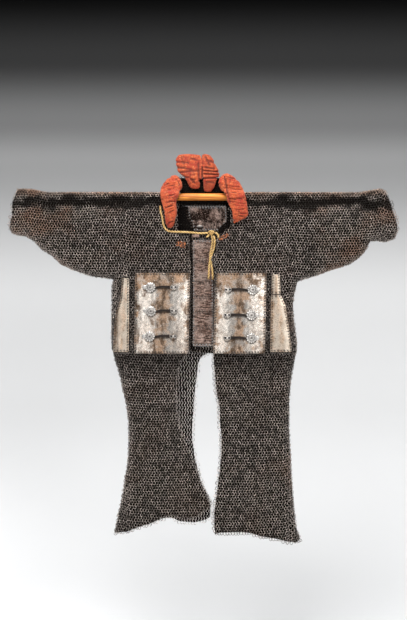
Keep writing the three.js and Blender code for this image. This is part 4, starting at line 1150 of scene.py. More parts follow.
def blow_up(pad):
    """Even faces, then a cloth under pressure, and no point further out than MOST_SWELL."""
    select_only(pad)
    pad.data.remesh_voxel_size = VOXEL
    bpy.ops.object.voxel_remesh()
    start = points_of(pad)
    cloth = pad.modifiers.new("cloth", "CLOTH")
    cloth.settings.use_pressure = True
    cloth.settings.uniform_pressure_force = PRESSURE
    cloth.settings.effector_weights.gravity = 0
    cloth.point_cache.frame_end = LAST_FRAME
    for number in range(1, LAST_FRAME + 1):
        bpy.context.scene.frame_set(number)
    select_only(pad)
    bpy.ops.object.modifier_apply(modifier=cloth.name)
    bpy.context.scene.frame_set(1)
    moved = points_of(pad) - start
    length = np.linalg.norm(moved, axis=1, keepdims=True)
    move_points(pad, start + moved * np.minimum(1, MOST_SWELL / np.maximum(length, 1e-9)))
    apply_modifier(pad, "SUBSURF", levels=1, render_levels=1)
    print(pad.name, "has", len(pad.data.polygons), "faces")


collar = {}
for name, rows in COLLAR_ROWS.items():
    collar[name] = pad_form(name, rows)
    blow_up(collar[name])

# %% Creases in the cover
# Each crease runs between two places seen from in front, with a reach and a depth, in millimetres.
CREASES = {
    "collar_stand_right": [
        (-70, 88, -40, 86, 2.5, 1.2), (-66, 74, -30, 68, 3, 1.4), (-58, 62, -12, 66, 2.6, 1.6),
        (-50, 50, -20, 44, 2.4, 1.6), (-34, 44, -22, 34, 2.2, 2.2), (-30, 96, -12, 90, 3, 1),
        (-30, 42, -24, 41, 2.6, 3), (-29, 36, -24, 36, 2, 3), (-4.5, 74, -4.5, 50, 2, 3),
        (-14, 84, -12, 40, 3, 1.6), (-56, 100, -50, 76, 3, 0.8),
    ],
    "collar_stand_left": [
        (-3, 66, 36, 63, 1.9, 3.4), (0, 58, 34, 55.5, 1.8, 3), (-2, 46, 33, 48, 1.9, 3),
        (2, 74, 24, 70, 2.4, 1.6), (8, 92, 26, 86, 2.6, 1.2), (6, 38, 24, 36, 2.2, 1.2),
        (4, 100, 14, 80, 2.6, 1), (-4.5, 74, -4.5, 50, 2.2, 3), (-7, 104, -5, 76, 1.4, 1),
    ],
    "collar_lobe_right": [(-70, 46, -60, 30, 3, 1.6), (-104, 20, -90, 34, 3, 1.4)],
    "collar_lobe_left": [
        (52, 50, 58, 8, 2.4, 4.2), (58, 8, 64, -16, 2.4, 2.4), (60, 50, 88, 42, 2.6, 1.6),
        (66, -8, 100, -4, 2.2, 1.8),
    ],
}
WRINKLES = {"collar_lobe_right": (-76, 50, 9), "collar_lobe_left": (-62, 54, -8)}  # from, to, slant
wrinkle = np.random.default_rng(5)
for name, (low, high, slant) in WRINKLES.items():
    height = low
    while height < high:
        left, right = (float(read(COLLAR_ROWS[name], height * MM, column)) / MM for column in (1, 2))
        inner = wrinkle.uniform(-0.05, 0.5)
        outer = inner + wrinkle.uniform(0.25, 0.6)
        rise = slant * (outer - inner) + wrinkle.normal(0, 2.5)
        start, end = left + (right - left) * inner, left + (right - left) * outer
        reach, depth = wrinkle.uniform(1.1, 2.2), wrinkle.uniform(0.7, 2.4)
        CREASES[name].append((start, height, end, height + rise, reach, depth))
        height += wrinkle.uniform(2, 6)


SWELL = 0.35  # the cloth swells beside a crease by this share of its depth


def crease(obj, rows, faded):
    """Pushes the creases in, and keeps how deep each point lies as an attribute for the finish."""
    points = points_of(obj)
    normals = np.empty(len(points) * 3)
    obj.data.vertices.foreach_get("normal", normals)
    normals = normals.reshape(-1, 3)
    total = np.zeros(len(points))
    for x1, z1, x2, z2, reach, depth in table(*rows):
        off = to_segment(points[:, 0], points[:, 2], x1, z1, x2, z2)
        distance = np.hypot(*off) / reach
        total += depth * (np.exp(-(distance**2)) - SWELL * np.exp(-((distance - 2) ** 2)))
    move_points(obj, points - normals * total[:, None])
    point_values(obj, "crease", np.clip(total / (2 * MM) + faded, -0.4, 1))
    select_only(obj)
    bpy.ops.object.shade_smooth()


DULL = {"collar_stand_right": 0.38, "collar_stand_left": 0.58}  # the back of the collar is dirtier
for name, pad in collar.items():
    crease(pad, CREASES[name], DULL.get(name, 0.0))
print("creases:", {name: len(rows) for name, rows in CREASES.items()})

# %% [markdown]
# ## The lace
#
# A thin yellow cord of two twisted plies starts under the right lobe, runs down beside it and across
# the open neck to a knot, and leaves two tails there. Each length is a tube round the same route as in
# the measured model. Its section has two soft lobes that turn as it goes along, which is what a
# twist is. Cord doesn't stretch, so the length of each route is measured and stated.

# %% Lace routes and the twisted tube
LACE_RADIUS = 2.7 * MM
LACE_LIFT = 3.15 * MM
TWIST_EVERY = 15 * MM
PLIES = 2
PLY_DEPTH = 0.17
SECTION_SIDES = 16
ASIDE = [0.31, 0.2, 0.93]  # a direction that no cord starts in


def on_mail(*places):
    return [(x * MM, on_shirt(FRONT, x * MM, z * MM)[1] - LACE_LIFT, z * MM) for x, z in places]


def free(*places):
    return [(x * MM, y * MM, z * MM) for x, y, z in places]


LACE_ROUTES = {
    "lace_run": on_mail(
        (-109, -22), (-108, -36), (-105, -47), (-103, -58), (-101, -69), (-97, -79), (-88, -86),
        (-75, -87.5), (-62, -88),
    ) + free((-49, -26.5, -88.5), (-27, -26.5, -90), (-11, -26.5, -91.5), (11, -26.5, -90.6)),
    "lace_stub": free((13.2, -27, -95.4), (9.5, -28, -98.6), (5.5, -29, -102)),
    "lace_loop": free(
        (26, -26.7, -90), (30, -28, -91), (34, -29, -94), (36, -29.5, -99), (35, -29, -103)
    ),
    "lace_tail_long": free(
        (19.3, -26.3, -97.5), (21, -23, -108), (20.5, -20, -120), (17, -19, -136), (15, -19, -152),
        (18, -19, -168), (21, -19, -188), (22, -19, -208),
    ),
    "lace_tail_short": free(
        (23.8, -27.2, -97), (26.5, -28.5, -108), (25.5, -26.5, -124), (21, -24.6, -140),
        (15.5, -24.2, -156), (13, -22, -172), (12, -20, -190), (11, -20, -207),
    ),
}
KNOT_MIDDLE = np.array([18.5, -26.5, -90]) * MM
KNOT_SIZE = 2.05 * MM
KNOT_CORD = 1.95 * MM  # the cord is pulled thin in the knot


def smooth_route(route, spacing=1 * MM):
    """Even points on a Catmull-Rom curve through the route's places."""
    route = np.asarray(route, float)
    ends = np.vstack([2 * route[0] - route[1], route, 2 * route[-1] - route[-2]])
    dense = []
    for a, b, c, d in zip(ends[:-3], ends[1:-2], ends[2:-1], ends[3:]):
        t = np.linspace(0, 1, 24, endpoint=False)[:, None]
        bend, twist = 2 * a - 5 * b + 4 * c - d, 3 * b - a - 3 * c + d
        dense.append(0.5 * (2 * b + (c - a) * t + bend * t**2 + twist * t**3))
    dense = np.vstack([*dense, route[-1:]])
    along = np.concatenate([[0], np.cumsum(np.linalg.norm(np.diff(dense, axis=0), axis=1))])
    steps = np.linspace(0, along[-1], max(int(along[-1] / spacing), 4) + 1)
    return np.stack([np.interp(steps, along, dense[:, k]) for k in range(3)], -1)


def twisted_tube(name, path, radius, closed=False):
    """A tube round the path with a turning two-lobed section and rounded ends."""
    tangent = unit(np.gradient(path, axis=0))
    if closed:
        tangent = unit(np.roll(path, -1, axis=0) - np.roll(path, 1, axis=0))
    side = unit(np.cross(tangent[0], ASIDE))
    sides = []
    for direction in tangent:
        side = unit(side - direction * np.dot(side, direction))
        sides.append(side)
    sides = np.array(sides)
    other = np.cross(tangent, sides)
    along = np.concatenate([[0], np.cumsum(np.linalg.norm(np.diff(path, axis=0), axis=1))])
    angle = np.linspace(0, 2 * math.pi, SECTION_SIDES, endpoint=False)[None, :]
    twist = 2 * math.pi * along[:, None] / TWIST_EVERY
    ply = np.cos(PLIES * (angle - twist))
    reach = radius * (1 - PLY_DEPTH + PLY_DEPTH * ply)
    if not closed:
        to_end = np.minimum(along, along[-1] - along)[:, None] / radius
        reach = reach * np.maximum(round_off(to_end), 0.15)
    points = path[:, None, :] + sides[:, None, :] * (reach * np.cos(angle))[..., None]
    points = points + other[:, None, :] * (reach * np.sin(angle))[..., None]
    count = len(path)
    here = np.arange(count if closed else count - 1)[:, None] * SECTION_SIDES
    after = (here + SECTION_SIDES) % (count * SECTION_SIDES)
    j = np.arange(SECTION_SIDES)
    k = (j + 1) % SECTION_SIDES
    faces = np.stack([here + j, here + k, after + k, after + j], -1).reshape(-1, 4)
    tube = mesh_from(name, points.reshape(-1, 3), faces)
    if not closed:
        with editing(tube):
            bpy.ops.mesh.select_mode(type="VERT")
            bpy.ops.mesh.fill_holes(sides=0)
    fixed_normals(tube)
    point_values(tube, "groove", np.clip(0.5 - 0.5 * ply.ravel(), 0, 1))
    return tube


lace = {}
lace_paths = {}
for name, route in LACE_ROUTES.items():
    lace_paths[name] = smooth_route(route)
    lace[name] = twisted_tube(name + "_cord", lace_paths[name], LACE_RADIUS)
turn = np.linspace(0, 2 * math.pi, 90, endpoint=False)
knot = [np.sin(turn) + 2 * np.sin(2 * turn), -1.1 * np.sin(3 * turn), np.cos(turn) - 2 * np.cos(2 * turn)]
knot_path = np.stack(knot, -1) * KNOT_SIZE + KNOT_MIDDLE
lace["lace_knot"] = twisted_tube("lace_knot_cord", knot_path, KNOT_CORD, closed=True)


def length_of(path):
    return float(np.linalg.norm(np.diff(path, axis=0), axis=1).sum())


for name, path in lace_paths.items():
    print(name, round(length_of(path) * 1000), "mm long")

# %% [markdown]
# ## Leather stubs, stud and tab
#
# Two dry, torn ends of a leather strap are still tied to the fronts. On the neck plate sits an oval
# stud, and under the plate a small dull tab. The leather is a sheet of faces with a curl in it and a
# wall, and the stud and the tab are a ball and a block with their edges worn. The stud has painted
# light, bright on top and dark below.

# %% Small things
def make_stub(name, start, end, width, thick):
    start, end = np.array(start) * MM, np.array(end) * MM
    along, across = np.meshgrid(np.linspace(-0.04, 1.14, 15), np.linspace(-0.5, 0.5, 7))
    direction = (end - start) / np.linalg.norm(end - start)
    ragged = 1 + 0.22 * np.sin(along * 17 + across * 5) * (along > 0.1)
    ragged = ragged - 0.35 * np.clip(along - 0.9, 0, 1)
    x = start[0] + (end - start)[0] * along - direction[1] * across * width * MM * ragged
    z = start[1] + (end - start)[1] * along + direction[0] * across * width * MM * ragged
    points = on_shirt(FRONT, x, z)
    curl = 1.6 * across**2 * 4 + 0.9 * np.sin(along * 9 + across * 6) + 0.9
    points[..., 1] -= (thick + 0.4 + curl * 0.6) * MM
    stub = sheet_of(name + "_strap", points)
    apply_modifier(stub, "SOLIDIFY", thickness=thick * MM, offset=-1)
    fixed_normals(stub)
    apply_modifier(stub, "BEVEL", width=0.5 * MM, segments=2, limit_method="ANGLE", angle_limit=1)
    apply_modifier(stub, "SUBSURF", levels=1, render_levels=1)
    return stub


small = {
    "leather_stub_right": make_stub("leather_stub_right", (-47, -121), (-66, -117), 14, 2),
    "leather_stub_left": make_stub("leather_stub_left", (38, -107), (58, -96), 8, 2),
}

STUD_PLACE = (-10.5 * MM, -75 * MM)
stud = added(bpy.ops.mesh.primitive_uv_sphere_add, "neck_stud_form", segments=32, ring_count=16, radius=1)
ball = points_of(stud)
band = 1 - 0.12 * np.exp(-(((np.abs(ball[:, 1]) - 0.35) / 0.12) ** 2))
stud_y = on_shirt(BACK, *STUD_PLACE)[1] - 4.7 * MM
spread = np.stack([ball[:, 0] * band * 9.5, ball[:, 1] * 2.5, ball[:, 2] * band * 5.5], -1) * MM
move_points(stud, spread + [STUD_PLACE[0], stud_y, STUD_PLACE[1]])
# The stud is painted light: bright on top and dark below.
point_values(stud, "wear_and_shade", np.clip(0.1 + 0.5 * ball[:, 2], 0, 1))
bpy.ops.object.shade_smooth()
small["neck_stud"] = stud

TAB_PLACE = (-21 * MM, -97 * MM)
TAB_SIZE = np.array([17.5, 1.6, 7.5]) * MM
tab = added(bpy.ops.mesh.primitive_cube_add, "back_tab_form", size=1)
tab_y = on_shirt(BACK, *TAB_PLACE)[1] - MAIL_WALL - 1.3 * MM
move_points(tab, points_of(tab) * TAB_SIZE + [TAB_PLACE[0], tab_y, TAB_PLACE[1]])
apply_modifier(tab, "BEVEL", width=0.6 * MM, segments=3)
small["back_tab"] = tab
print("small things:", sorted(small))

# %% [markdown]
# ## The rod
#
# A turned wooden rod carries the shirt. Only a hand's width of it shows in the neck opening, and its
# ends are hidden in the sleeves. It is a cylinder with rounded ends.

# %% Rod
ROD_LENGTH = 850 * MM
rod = added(
    bpy.ops.mesh.primitive_cylinder_add, "rod_form",
    vertices=56, radius=ROD_RADIUS, depth=ROD_LENGTH, rotation=(0, math.pi / 2, 0),
)
bpy.ops.object.transform_apply()
apply_modifier(rod, "BEVEL", width=1.5 * MM, segments=4, limit_method="ANGLE", angle_limit=1)
select_only(rod)
bpy.ops.object.shade_smooth_by_angle(angle=math.radians(35))
print("rod length", ROD_LENGTH)

# %% [markdown]
# ## Finishes
#
# Shared effects are node groups, built once: a mottle for patina and stains, and a fine grain for
# bump. Each finish is then a material of its own. A pattern reads the object's own coordinates, which
# are metres here because every piece sits at the origin.


# %% Node helpers and shared groups
def new_group(name, inputs, outputs):
    group = bpy.data.node_groups.new(name, "ShaderNodeTree")
    for socket, default in inputs:
        made = group.interface.new_socket(socket, in_out="INPUT", socket_type="NodeSocketFloat")
        made.default_value = default
    for socket in outputs:
        group.interface.new_socket(socket, in_out="OUTPUT", socket_type="NodeSocketFloat")
    return group, group.nodes.new("NodeGroupInput"), group.nodes.new("NodeGroupOutput")


def build_mottle():
    """Soft blotches of a size, between two thresholds, from 0 to 1."""
    sockets = [("Scale", 30), ("Low", 0.4), ("High", 0.6), ("Stretch", 1)]
    group, inputs, outputs = new_group("mottle", sockets, ["Mask"])
    nodes, link = group.nodes, group.links.new
    place = nodes.new("ShaderNodeTexCoord")
    stretch = nodes.new("ShaderNodeCombineXYZ")
    stretch.inputs[0].default_value = 1
    stretch.inputs[1].default_value = 1
    link(inputs.outputs["Stretch"], stretch.inputs[2])
    scaled = nodes.new("ShaderNodeVectorMath")
    scaled.operation = "MULTIPLY"
    link(place.outputs["Object"], scaled.inputs[0])
    link(stretch.outputs[0], scaled.inputs[1])
    noise = nodes.new("ShaderNodeTexNoise")
    noise.inputs["Detail"].default_value = 5
    noise.inputs["Roughness"].default_value = 0.62
    link(scaled.outputs[0], noise.inputs["Vector"])
    link(inputs.outputs["Scale"], noise.inputs["Scale"])
    range_node = nodes.new("ShaderNodeMapRange")
    range_node.interpolation_type = "SMOOTHSTEP"
    link(noise.outputs["Fac"], range_node.inputs["Value"])
    link(inputs.outputs["Low"], range_node.inputs["From Min"])
    link(inputs.outputs["High"], range_node.inputs["From Max"])
    link(range_node.outputs["Result"], outputs.inputs["Mask"])
    return group


def build_grain():
    """A fine height for bump: noise of a size, with some finer noise on it."""
    group, inputs, outputs = new_group("grain", [("Scale", 900), ("Fine", 0.4)], ["Height"])
    nodes, link = group.nodes, group.links.new
    place = nodes.new("ShaderNodeTexCoord")
    noise = nodes.new("ShaderNodeTexNoise")
    noise.inputs["Detail"].default_value = 3
    link(place.outputs["Object"], noise.inputs["Vector"])
    link(inputs.outputs["Scale"], noise.inputs["Scale"])
    link(inputs.outputs["Fine"], noise.inputs["Roughness"])
    link(noise.outputs["Fac"], outputs.inputs["Height"])
    return group


MOTTLE, GRAIN = build_mottle(), build_grain()


class Finish:
    """A material with its Principled shader, and short calls for the nodes that feed it."""

    def __init__(self, name, roughness, metallic):
        self.material = bpy.data.materials.new(name)
        self.material.use_nodes = True
        self.nodes, self.links = self.material.node_tree.nodes, self.material.node_tree.links
        self.shader = next(node for node in self.nodes if node.type == "BSDF_PRINCIPLED")
        self.shader.inputs["Roughness"].default_value = roughness
        self.shader.inputs["Metallic"].default_value = metallic

    def node(self, kind, **values):
        node = self.nodes.new(kind)
        for name, value in values.items():
            setattr(node, name, value)
        return node

    def join(self, source, target):
        self.links.new(source, target)

    def mottle(self, scale, low, high, stretch=1.0):
        node = self.node("ShaderNodeGroup", node_tree=MOTTLE)
        for name, value in {"Scale": scale, "Low": low, "High": high, "Stretch": stretch}.items():
            node.inputs[name].default_value = value
        return node.outputs["Mask"]

    def mix(self, share, first, second, blend="MIX"):
        node = self.node("ShaderNodeMix", data_type="RGBA", blend_type=blend)
        for socket, value in ((node.inputs[0], share), (node.inputs[6], first), (node.inputs[7], second)):
            if isinstance(value, bpy.types.NodeSocket):
                self.join(value, socket)
            else:
                socket.default_value = (*value, 1) if isinstance(value, tuple) else value
        return node.outputs[2]

    def math(self, operation, first, second=0.0):
        node = self.node("ShaderNodeMath", operation=operation, use_clamp=False)
        for socket, value in zip(node.inputs, (first, second)):
            if isinstance(value, bpy.types.NodeSocket):
                self.join(value, socket)
            else:
                socket.default_value = value
        return node.outputs[0]

    def times(self, first, second):
        return self.math("MULTIPLY", first, second)

    def plus(self, first, second):
        return self.math("ADD", first, second)

    def attribute(self, name):
        return self.node("ShaderNodeAttribute", attribute_name=name).outputs["Fac"]

    def steps(self, value, *stops):
        """A ramp from a value to grey, with each stop's place and brightness."""
        ramp = self.node("ShaderNodeValToRGB")
        ramp.color_ramp.interpolation = "EASE"
        while len(ramp.color_ramp.elements) < len(stops):
            ramp.color_ramp.elements.new(0.5)
        for element, (place, bright) in zip(ramp.color_ramp.elements, stops):
            element.position = place
            element.color = (bright, bright, bright, 1)
        self.join(value, ramp.inputs[0])
        return ramp.outputs[0]

    def colour(self, value):
        self.join(value, self.shader.inputs["Base Color"])

    def roughness(self, value):
        self.join(value, self.shader.inputs["Roughness"])

    def bump(self, height, strength, distance):
        node = self.node("ShaderNodeBump")
        node.inputs["Strength"].default_value = strength
        node.inputs["Distance"].default_value = distance
        self.join(height, node.inputs["Height"])
        self.join(node.outputs[0], self.shader.inputs["Normal"])

    def grain(self, scale, fine=0.5):
        node = self.node("ShaderNodeGroup", node_tree=GRAIN)
        node.inputs["Scale"].default_value = scale
        node.inputs["Fine"].default_value = fine
        return node.outputs["Height"]

    def place(self, axis):
        split = self.node("ShaderNodeSeparateXYZ")
        self.join(self.node("ShaderNodeTexCoord").outputs["Object"], split.inputs[0])
        return split.outputs[axis]


print("groups:", MOTTLE.name, GRAIN.name)

# %% [markdown]
# ### Iron rings
#
# Old mail is dark in its hollows and bright where ring rubs on ring. Here each ring has its own tone,
# from near black to worn grey, some rings are rusty, and the sleeves are warmer than the body, most of
# all where they lie over the rod. Painted shade darkens the groove under the ridge, the mail under the
# plates and the inside at the neck, and painted light brightens the inside below the waist.

# %% Iron of the rings
# A near black for painted shade and shadow, and for dirt.
SHADE_AND_GRIME_COLOUR = (0.02, 0.012, 0.009)


def ring_iron():
    """Iron with a tone for each ring, patches of rust, and painted shade and light in set places."""
    made = Finish("ring_iron", 0.42, 0.8)
    across, back, up = (made.place(axis) for axis in range(3))
    from_middle = made.math("ABSOLUTE", across)
    ripple = made.math("SUBTRACT", made.mottle(26, 0.35, 0.65, 3.2), 0.5)
    tone = made.plus(made.attribute("ring_tone"), made.times(ripple, 0.3))
    tone = made.steps(tone, (0.0, 0.2), (0.5, 0.66), (1.0, 1.0))
    flecks = made.steps(made.mottle(380, 0.42, 0.58), (0.0, 0.16), (1.0, 1.0))
    patches = made.steps(made.mottle(14, 0.4, 0.6), (0.0, 0.5), (1.0, 1.0))
    warm_top = made.times(made.steps(up, (0.0, 0.0), (0.011, 1.0)), patches)
    light = made.mix(warm_top, (1.0, 0.87, 0.78), (0.95, 0.60, 0.42))
    iron = made.mix(made.times(tone, flecks), (0.03, 0.022, 0.018), light)
    towards_sleeves = made.steps(from_middle, (0.12, 0.15), (0.34, 0.7))
    rusty = made.times(made.mottle(11, 0.45, 0.68), towards_sleeves)
    iron = made.mix(rusty, iron, (0.42, 0.24, 0.16))

    # On its inner side the back layer has painted shade at the neck and painted light below the waist.
    behind = made.steps(back, (0.0, 0.0), (0.002, 1.0))
    inside = made.times(behind, made.attribute("inner_side"))
    painted_neck_shade = made.times(made.steps(from_middle, (0.066, 1.0), (0.075, 0.0)), inside)
    upper = made.steps(made.plus(up, 0.5), (0.39, 0.0), (0.41, 1.0))
    iron = made.mix(made.times(painted_neck_shade, upper), iron, (0.006, 0.005, 0.005))
    lower = made.steps(made.plus(up, 1.0), (0.59, 1.0), (0.62, 0.0))
    iron = made.mix(made.times(inside, lower), iron, (0.97, 0.90, 0.85))

    # In front, painted shade lies in the groove under the rod's ridge, and painted shadow under the
    # plates.
    uneven = made.plus(up, made.times(made.mottle(24, 0.3, 0.7), 0.022))
    groove = made.steps(
        made.plus(uneven, 0.49), (0.468, 0.0), (0.482, 0.97), (0.495, 0.97), (0.504, 0.0)
    )
    broken = made.steps(made.mottle(17, 0.3, 0.5), (0.0, 0.75), (1.0, 1.0))
    under = made.steps(made.plus(up, 1.0), (0.53, 0.0), (0.6, 0.5), (0.61, 0.0))
    shade_and_grime = made.math("MAXIMUM", made.times(groove, broken), under)
    shade_and_grime = made.times(shade_and_grime, made.math("SUBTRACT", 1.0, behind))
    made.colour(made.mix(shade_and_grime, iron, (0.02, 0.016, 0.014)))
    made.roughness(made.steps(made.mottle(260, 0.3, 0.7), (0.0, 0.24), (1.0, 0.46)))
    made.bump(made.grain(2600), 0.25, 0.15 * MM)
    return made


rings_finish = ring_iron()
# The web is painted shade, near black with a faint mottle.
web_finish = Finish("shade_between_rings", 0.9, 0.0)
shade_mottle = web_finish.mottle(420, 0.35, 0.65)
web_finish.colour(web_finish.mix(shade_mottle, (0.002, 0.0017, 0.0016), (0.014, 0.011, 0.009)))
web_finish.bump(web_finish.grain(700), 0.6, 0.8 * MM)
web_finish.shader.inputs["Specular IOR Level"].default_value = 0.03
print("ring finishes:", rings_finish.material.name, web_finish.material.name)

# %% [markdown]
# ### Plate iron
#
# The plates are bright where they were polished, and brown where the patina was left: along the top, at
# the foot and in a column up the middle of each big plate. The bright bands are partly painted
# reflection, laid where the bowed plates reflect the lamps. The lames are darker towards one side as a
# painted shadow of the front's edge, and the neck plate's bright rims are painted highlights. Fine dark
# specks and upright streaks break up both. The column follows the plate's own UV map, so it stays with
# the plate.

# %% Iron of the plates and clasps
def plate_finish(
    name, bright, brown, across_patina_and_light, up_patina_and_light,
    specks=0.6, rough=(0.2, 0.4), streaks=0.5, stained=0.7, crisp=0.6,
):
    """Bright and brown iron. The two rows of stops say how brown a plate is across it and up it."""
    made = Finish(name, 0.3, 0.92)
    split = made.node("ShaderNodeSeparateXYZ")
    made.join(made.node("ShaderNodeUVMap").outputs[0], split.inputs[0])
    wobble = made.times(made.math("SUBTRACT", made.mottle(38, 0.25, 0.75), 0.5), 0.3)
    column = made.steps(made.plus(split.outputs[0], wobble), *across_patina_and_light)
    ends = made.steps(made.plus(split.outputs[1], wobble), *up_patina_and_light)
    rubbed = made.steps(made.mottle(46, 0.3, 0.62), (0.0, 0.35), (1.0, 1.0))
    patina_and_painted_light = made.times(made.math("MAXIMUM", column, ends), rubbed)
    metal = made.mix(patina_and_painted_light, bright, brown)
    in_brown = made.steps(patina_and_painted_light, (0.0, 0.25), (0.8, 1.0))
    stains = made.times(made.mottle(62, 0.46, crisp, streaks), in_brown)
    metal = made.mix(made.times(stains, stained), metal, tuple(0.24 * value for value in brown))
    pits = made.times(made.mottle(400, 0.5, 0.64), made.steps(patina_and_painted_light, (0.0, 0.45), (0.7, 1.0)))
    metal = made.mix(made.times(pits, specks), metal, tuple(0.2 * value for value in brown))
    glints = made.steps(made.mottle(330, 0.56, 0.7), (0.0, 0.0), (1.0, specks))
    metal = made.mix(glints, metal, bright)
    made.colour(made.mix(made.attribute("shade_and_grime"), metal, SHADE_AND_GRIME_COLOUR))
    made.roughness(made.steps(made.math("MAXIMUM", patina_and_painted_light, pits), (0.0, rough[0]), (1.0, rough[1])))
    made.bump(made.grain(420, 0.7), 0.4, 0.35 * MM)
    return made


# The bright bands across the big and side plates are partly painted reflection of the lamps.
big_plate_finish = plate_finish(
    "big_plate_iron", (0.98, 0.90, 0.81), (0.54, 0.33, 0.20),
    ((0.0, 1.0), (0.1, 0.2), (0.30, 0.1), (0.42, 0.9), (0.58, 0.9), (0.70, 0.1), (0.92, 0.2), (1.0, 0.8)),
    ((0.0, 0.9), (0.1, 0.3), (0.74, 0.1), (0.87, 0.95), (1.0, 1.0)),
    specks=0.75, stained=0.9,
)
side_plate_finish = plate_finish(
    "side_plate_iron", (1.0, 0.88, 0.74), (0.68, 0.40, 0.22),
    ((0.0, 0.8), (0.3, 0.3), (0.6, 0.6), (0.8, 0.1), (1.0, 0.5)), ((0.0, 0.6), (0.1, 0.2), (1.0, 0.2)),
    stained=0.6, specks=0.8, rough=(0.3, 0.5),
)
# The lames are darker towards one side, as a painted shadow of the front's edge.
lame_finish = plate_finish(
    "lame_iron", (1.0, 0.76, 0.64), (0.34, 0.185, 0.135),
    ((0.0, 0.1), (0.35, 0.7), (1.0, 1.0)), ((0.0, 0.1), (0.2, 0.7), (0.8, 0.7), (1.0, 0.0)),
    rough=(0.24, 0.45), streaks=5.0, stained=1.0, specks=0.9, crisp=0.54,
)
# The neck plate's bright rims are painted highlights.
neck_plate_finish = plate_finish(
    "neck_plate_iron", (0.86, 0.62, 0.52), (0.055, 0.028, 0.02),
    ((0.0, 0.2), (0.2, 0.6), (0.45, 1.0), (0.85, 0.9), (1.0, 0.2)),
    ((0.0, 0.4), (0.3, 0.5), (0.5, 0.9), (0.95, 0.8), (1.0, 0.1)),
    rough=(0.26, 0.5), streaks=0.6, stained=1.0, specks=0.9, crisp=0.55,
)
# Clasps go near black with painted shade in their recesses, round their discs' sides and in their eyes.
clasp_finish = Finish("clasp_iron", 0.3, 0.9)
wear_and_shade = clasp_finish.attribute("wear_and_shade")
spotted = clasp_finish.steps(clasp_finish.mottle(300, 0.4, 0.6), (0.0, 1.0), (1.0, 0.55))
clasp_finish.colour(clasp_finish.mix(clasp_finish.times(wear_and_shade, spotted), SHADE_AND_GRIME_COLOUR, (0.97, 0.91, 0.85)))
clasp_finish.roughness(clasp_finish.steps(wear_and_shade, (0.0, 0.6), (1.0, 0.36)))
clasp_finish.bump(clasp_finish.grain(1500, 0.6), 0.35, 0.2 * MM)
print("plate finishes ready")

# %% [markdown]
# ### Cloth, cord, leather and wood
#
# The collar's cover is a plain woven cotton, faded from red to orange in patches and darker in the
# creases. How deep a point lies in a crease was kept as an attribute. The weave is a fine bump of
# crossed threads.

# %% Cloth of the collar
def collar_cloth():
    """Red cloth in two tones, with dark stains, frayed orange threads and painted shade in the creases."""
    made = Finish("collar_cloth", 0.92, 0.0)
    cloth = made.mix(made.mottle(34, 0.36, 0.64), (0.40, 0.036, 0.016), (0.56, 0.095, 0.026))
    stained = made.steps(made.mottle(170, 0.48, 0.66), (0.0, 0.0), (1.0, 0.75))
    cloth = made.mix(stained, cloth, (0.17, 0.018, 0.012))
    frayed = made.steps(made.mottle(360, 0.52, 0.68), (0.0, 0.0), (1.0, 0.7))
    cloth = made.mix(frayed, cloth, (0.72, 0.30, 0.11))
    # The creases are painted dark as shade, and the back halves are dirtier as well.
    creased = made.steps(made.attribute("crease"), (0.1, 0.0), (1.0, 0.75))
    made.colour(made.mix(creased, cloth, (0.08, 0.010, 0.008)))
    across, up = (made.math("SINE", made.times(made.place(axis), 5200.0)) for axis in (0, 2))
    threads = made.times(made.plus(across, up), 0.2)
    made.bump(made.plus(threads, made.grain(420, 0.6)), 0.5, 0.8 * MM)
    made.shader.inputs["Sheen Weight"].default_value = 0.35
    made.shader.inputs["Sheen Roughness"].default_value = 0.5
    made.shader.inputs["Sheen Tint"].default_value = (0.9, 0.45, 0.3, 1)
    return made


def twisted_cord():
    """Yellow cord, with painted shade between its plies, and dark at the foot of its tails."""
    made = Finish("lace_cord", 0.8, 0.0)
    cord = made.mix(made.mottle(190, 0.35, 0.65), (0.92, 0.64, 0.27), (0.62, 0.37, 0.12))
    # Between the plies the cord is painted dark as shade.
    between = made.steps(made.attribute("groove"), (0.35, 0.0), (1.0, 0.8))
    cord = made.mix(between, cord, (0.16, 0.075, 0.02))
    ends = made.steps(made.plus(made.place(2), 1.0), (0.79, 0.8), (0.806, 0.0))
    made.colour(made.mix(ends, cord, (0.10, 0.05, 0.03)))
    made.bump(made.grain(2200, 0.6), 0.5, 0.3 * MM)
    return made


collar_finish, lace_finish = collar_cloth(), twisted_cord()
leather_finish = Finish("strap_leather", 0.62, 0.0)
cracks = leather_finish.mottle(260, 0.38, 0.54)
leather_finish.colour(leather_finish.mix(cracks, (0.46, 0.14, 0.035), (0.03, 0.010, 0.005)))
leather_finish.bump(leather_finish.grain(900, 0.7), 0.7, 0.5 * MM)

wood_finish = Finish("rod_wood", 0.55, 0.0)
stretch = wood_finish.node("ShaderNodeMapping")
stretch.inputs["Scale"].default_value = (6, 95, 95)
wood_finish.join(wood_finish.node("ShaderNodeTexCoord").outputs["Object"], stretch.inputs[0])
rays = wood_finish.node("ShaderNodeTexNoise")
rays.inputs["Scale"].default_value = 3.0
rays.inputs["Detail"].default_value = 6
wood_finish.join(stretch.outputs[0], rays.inputs["Vector"])
grain_lines = wood_finish.steps(rays.outputs["Fac"], (0.38, 0.0), (0.64, 1.0))
wood_finish.colour(wood_finish.mix(grain_lines, (0.50, 0.14, 0.015), (0.92, 0.33, 0.04)))
wood_finish.bump(rays.outputs["Fac"], 0.2, 0.4 * MM)
wood_finish.shader.inputs["Coat Weight"].default_value = 0.08
print("soft finishes ready")

# %% [markdown]
# ## Dressing the model
#
# Every piece rides on the one body, takes its finish and hides the node it stands for.


# %% Which finish and which slot
def dress(obj, finish):
    obj.data.materials.clear()
    obj.data.materials.append(finish.material)
    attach(obj, "root")


for name, (web, rings, count) in pieces.items():
    dress(web, web_finish)
    dress(rings, rings_finish)
    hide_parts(name)

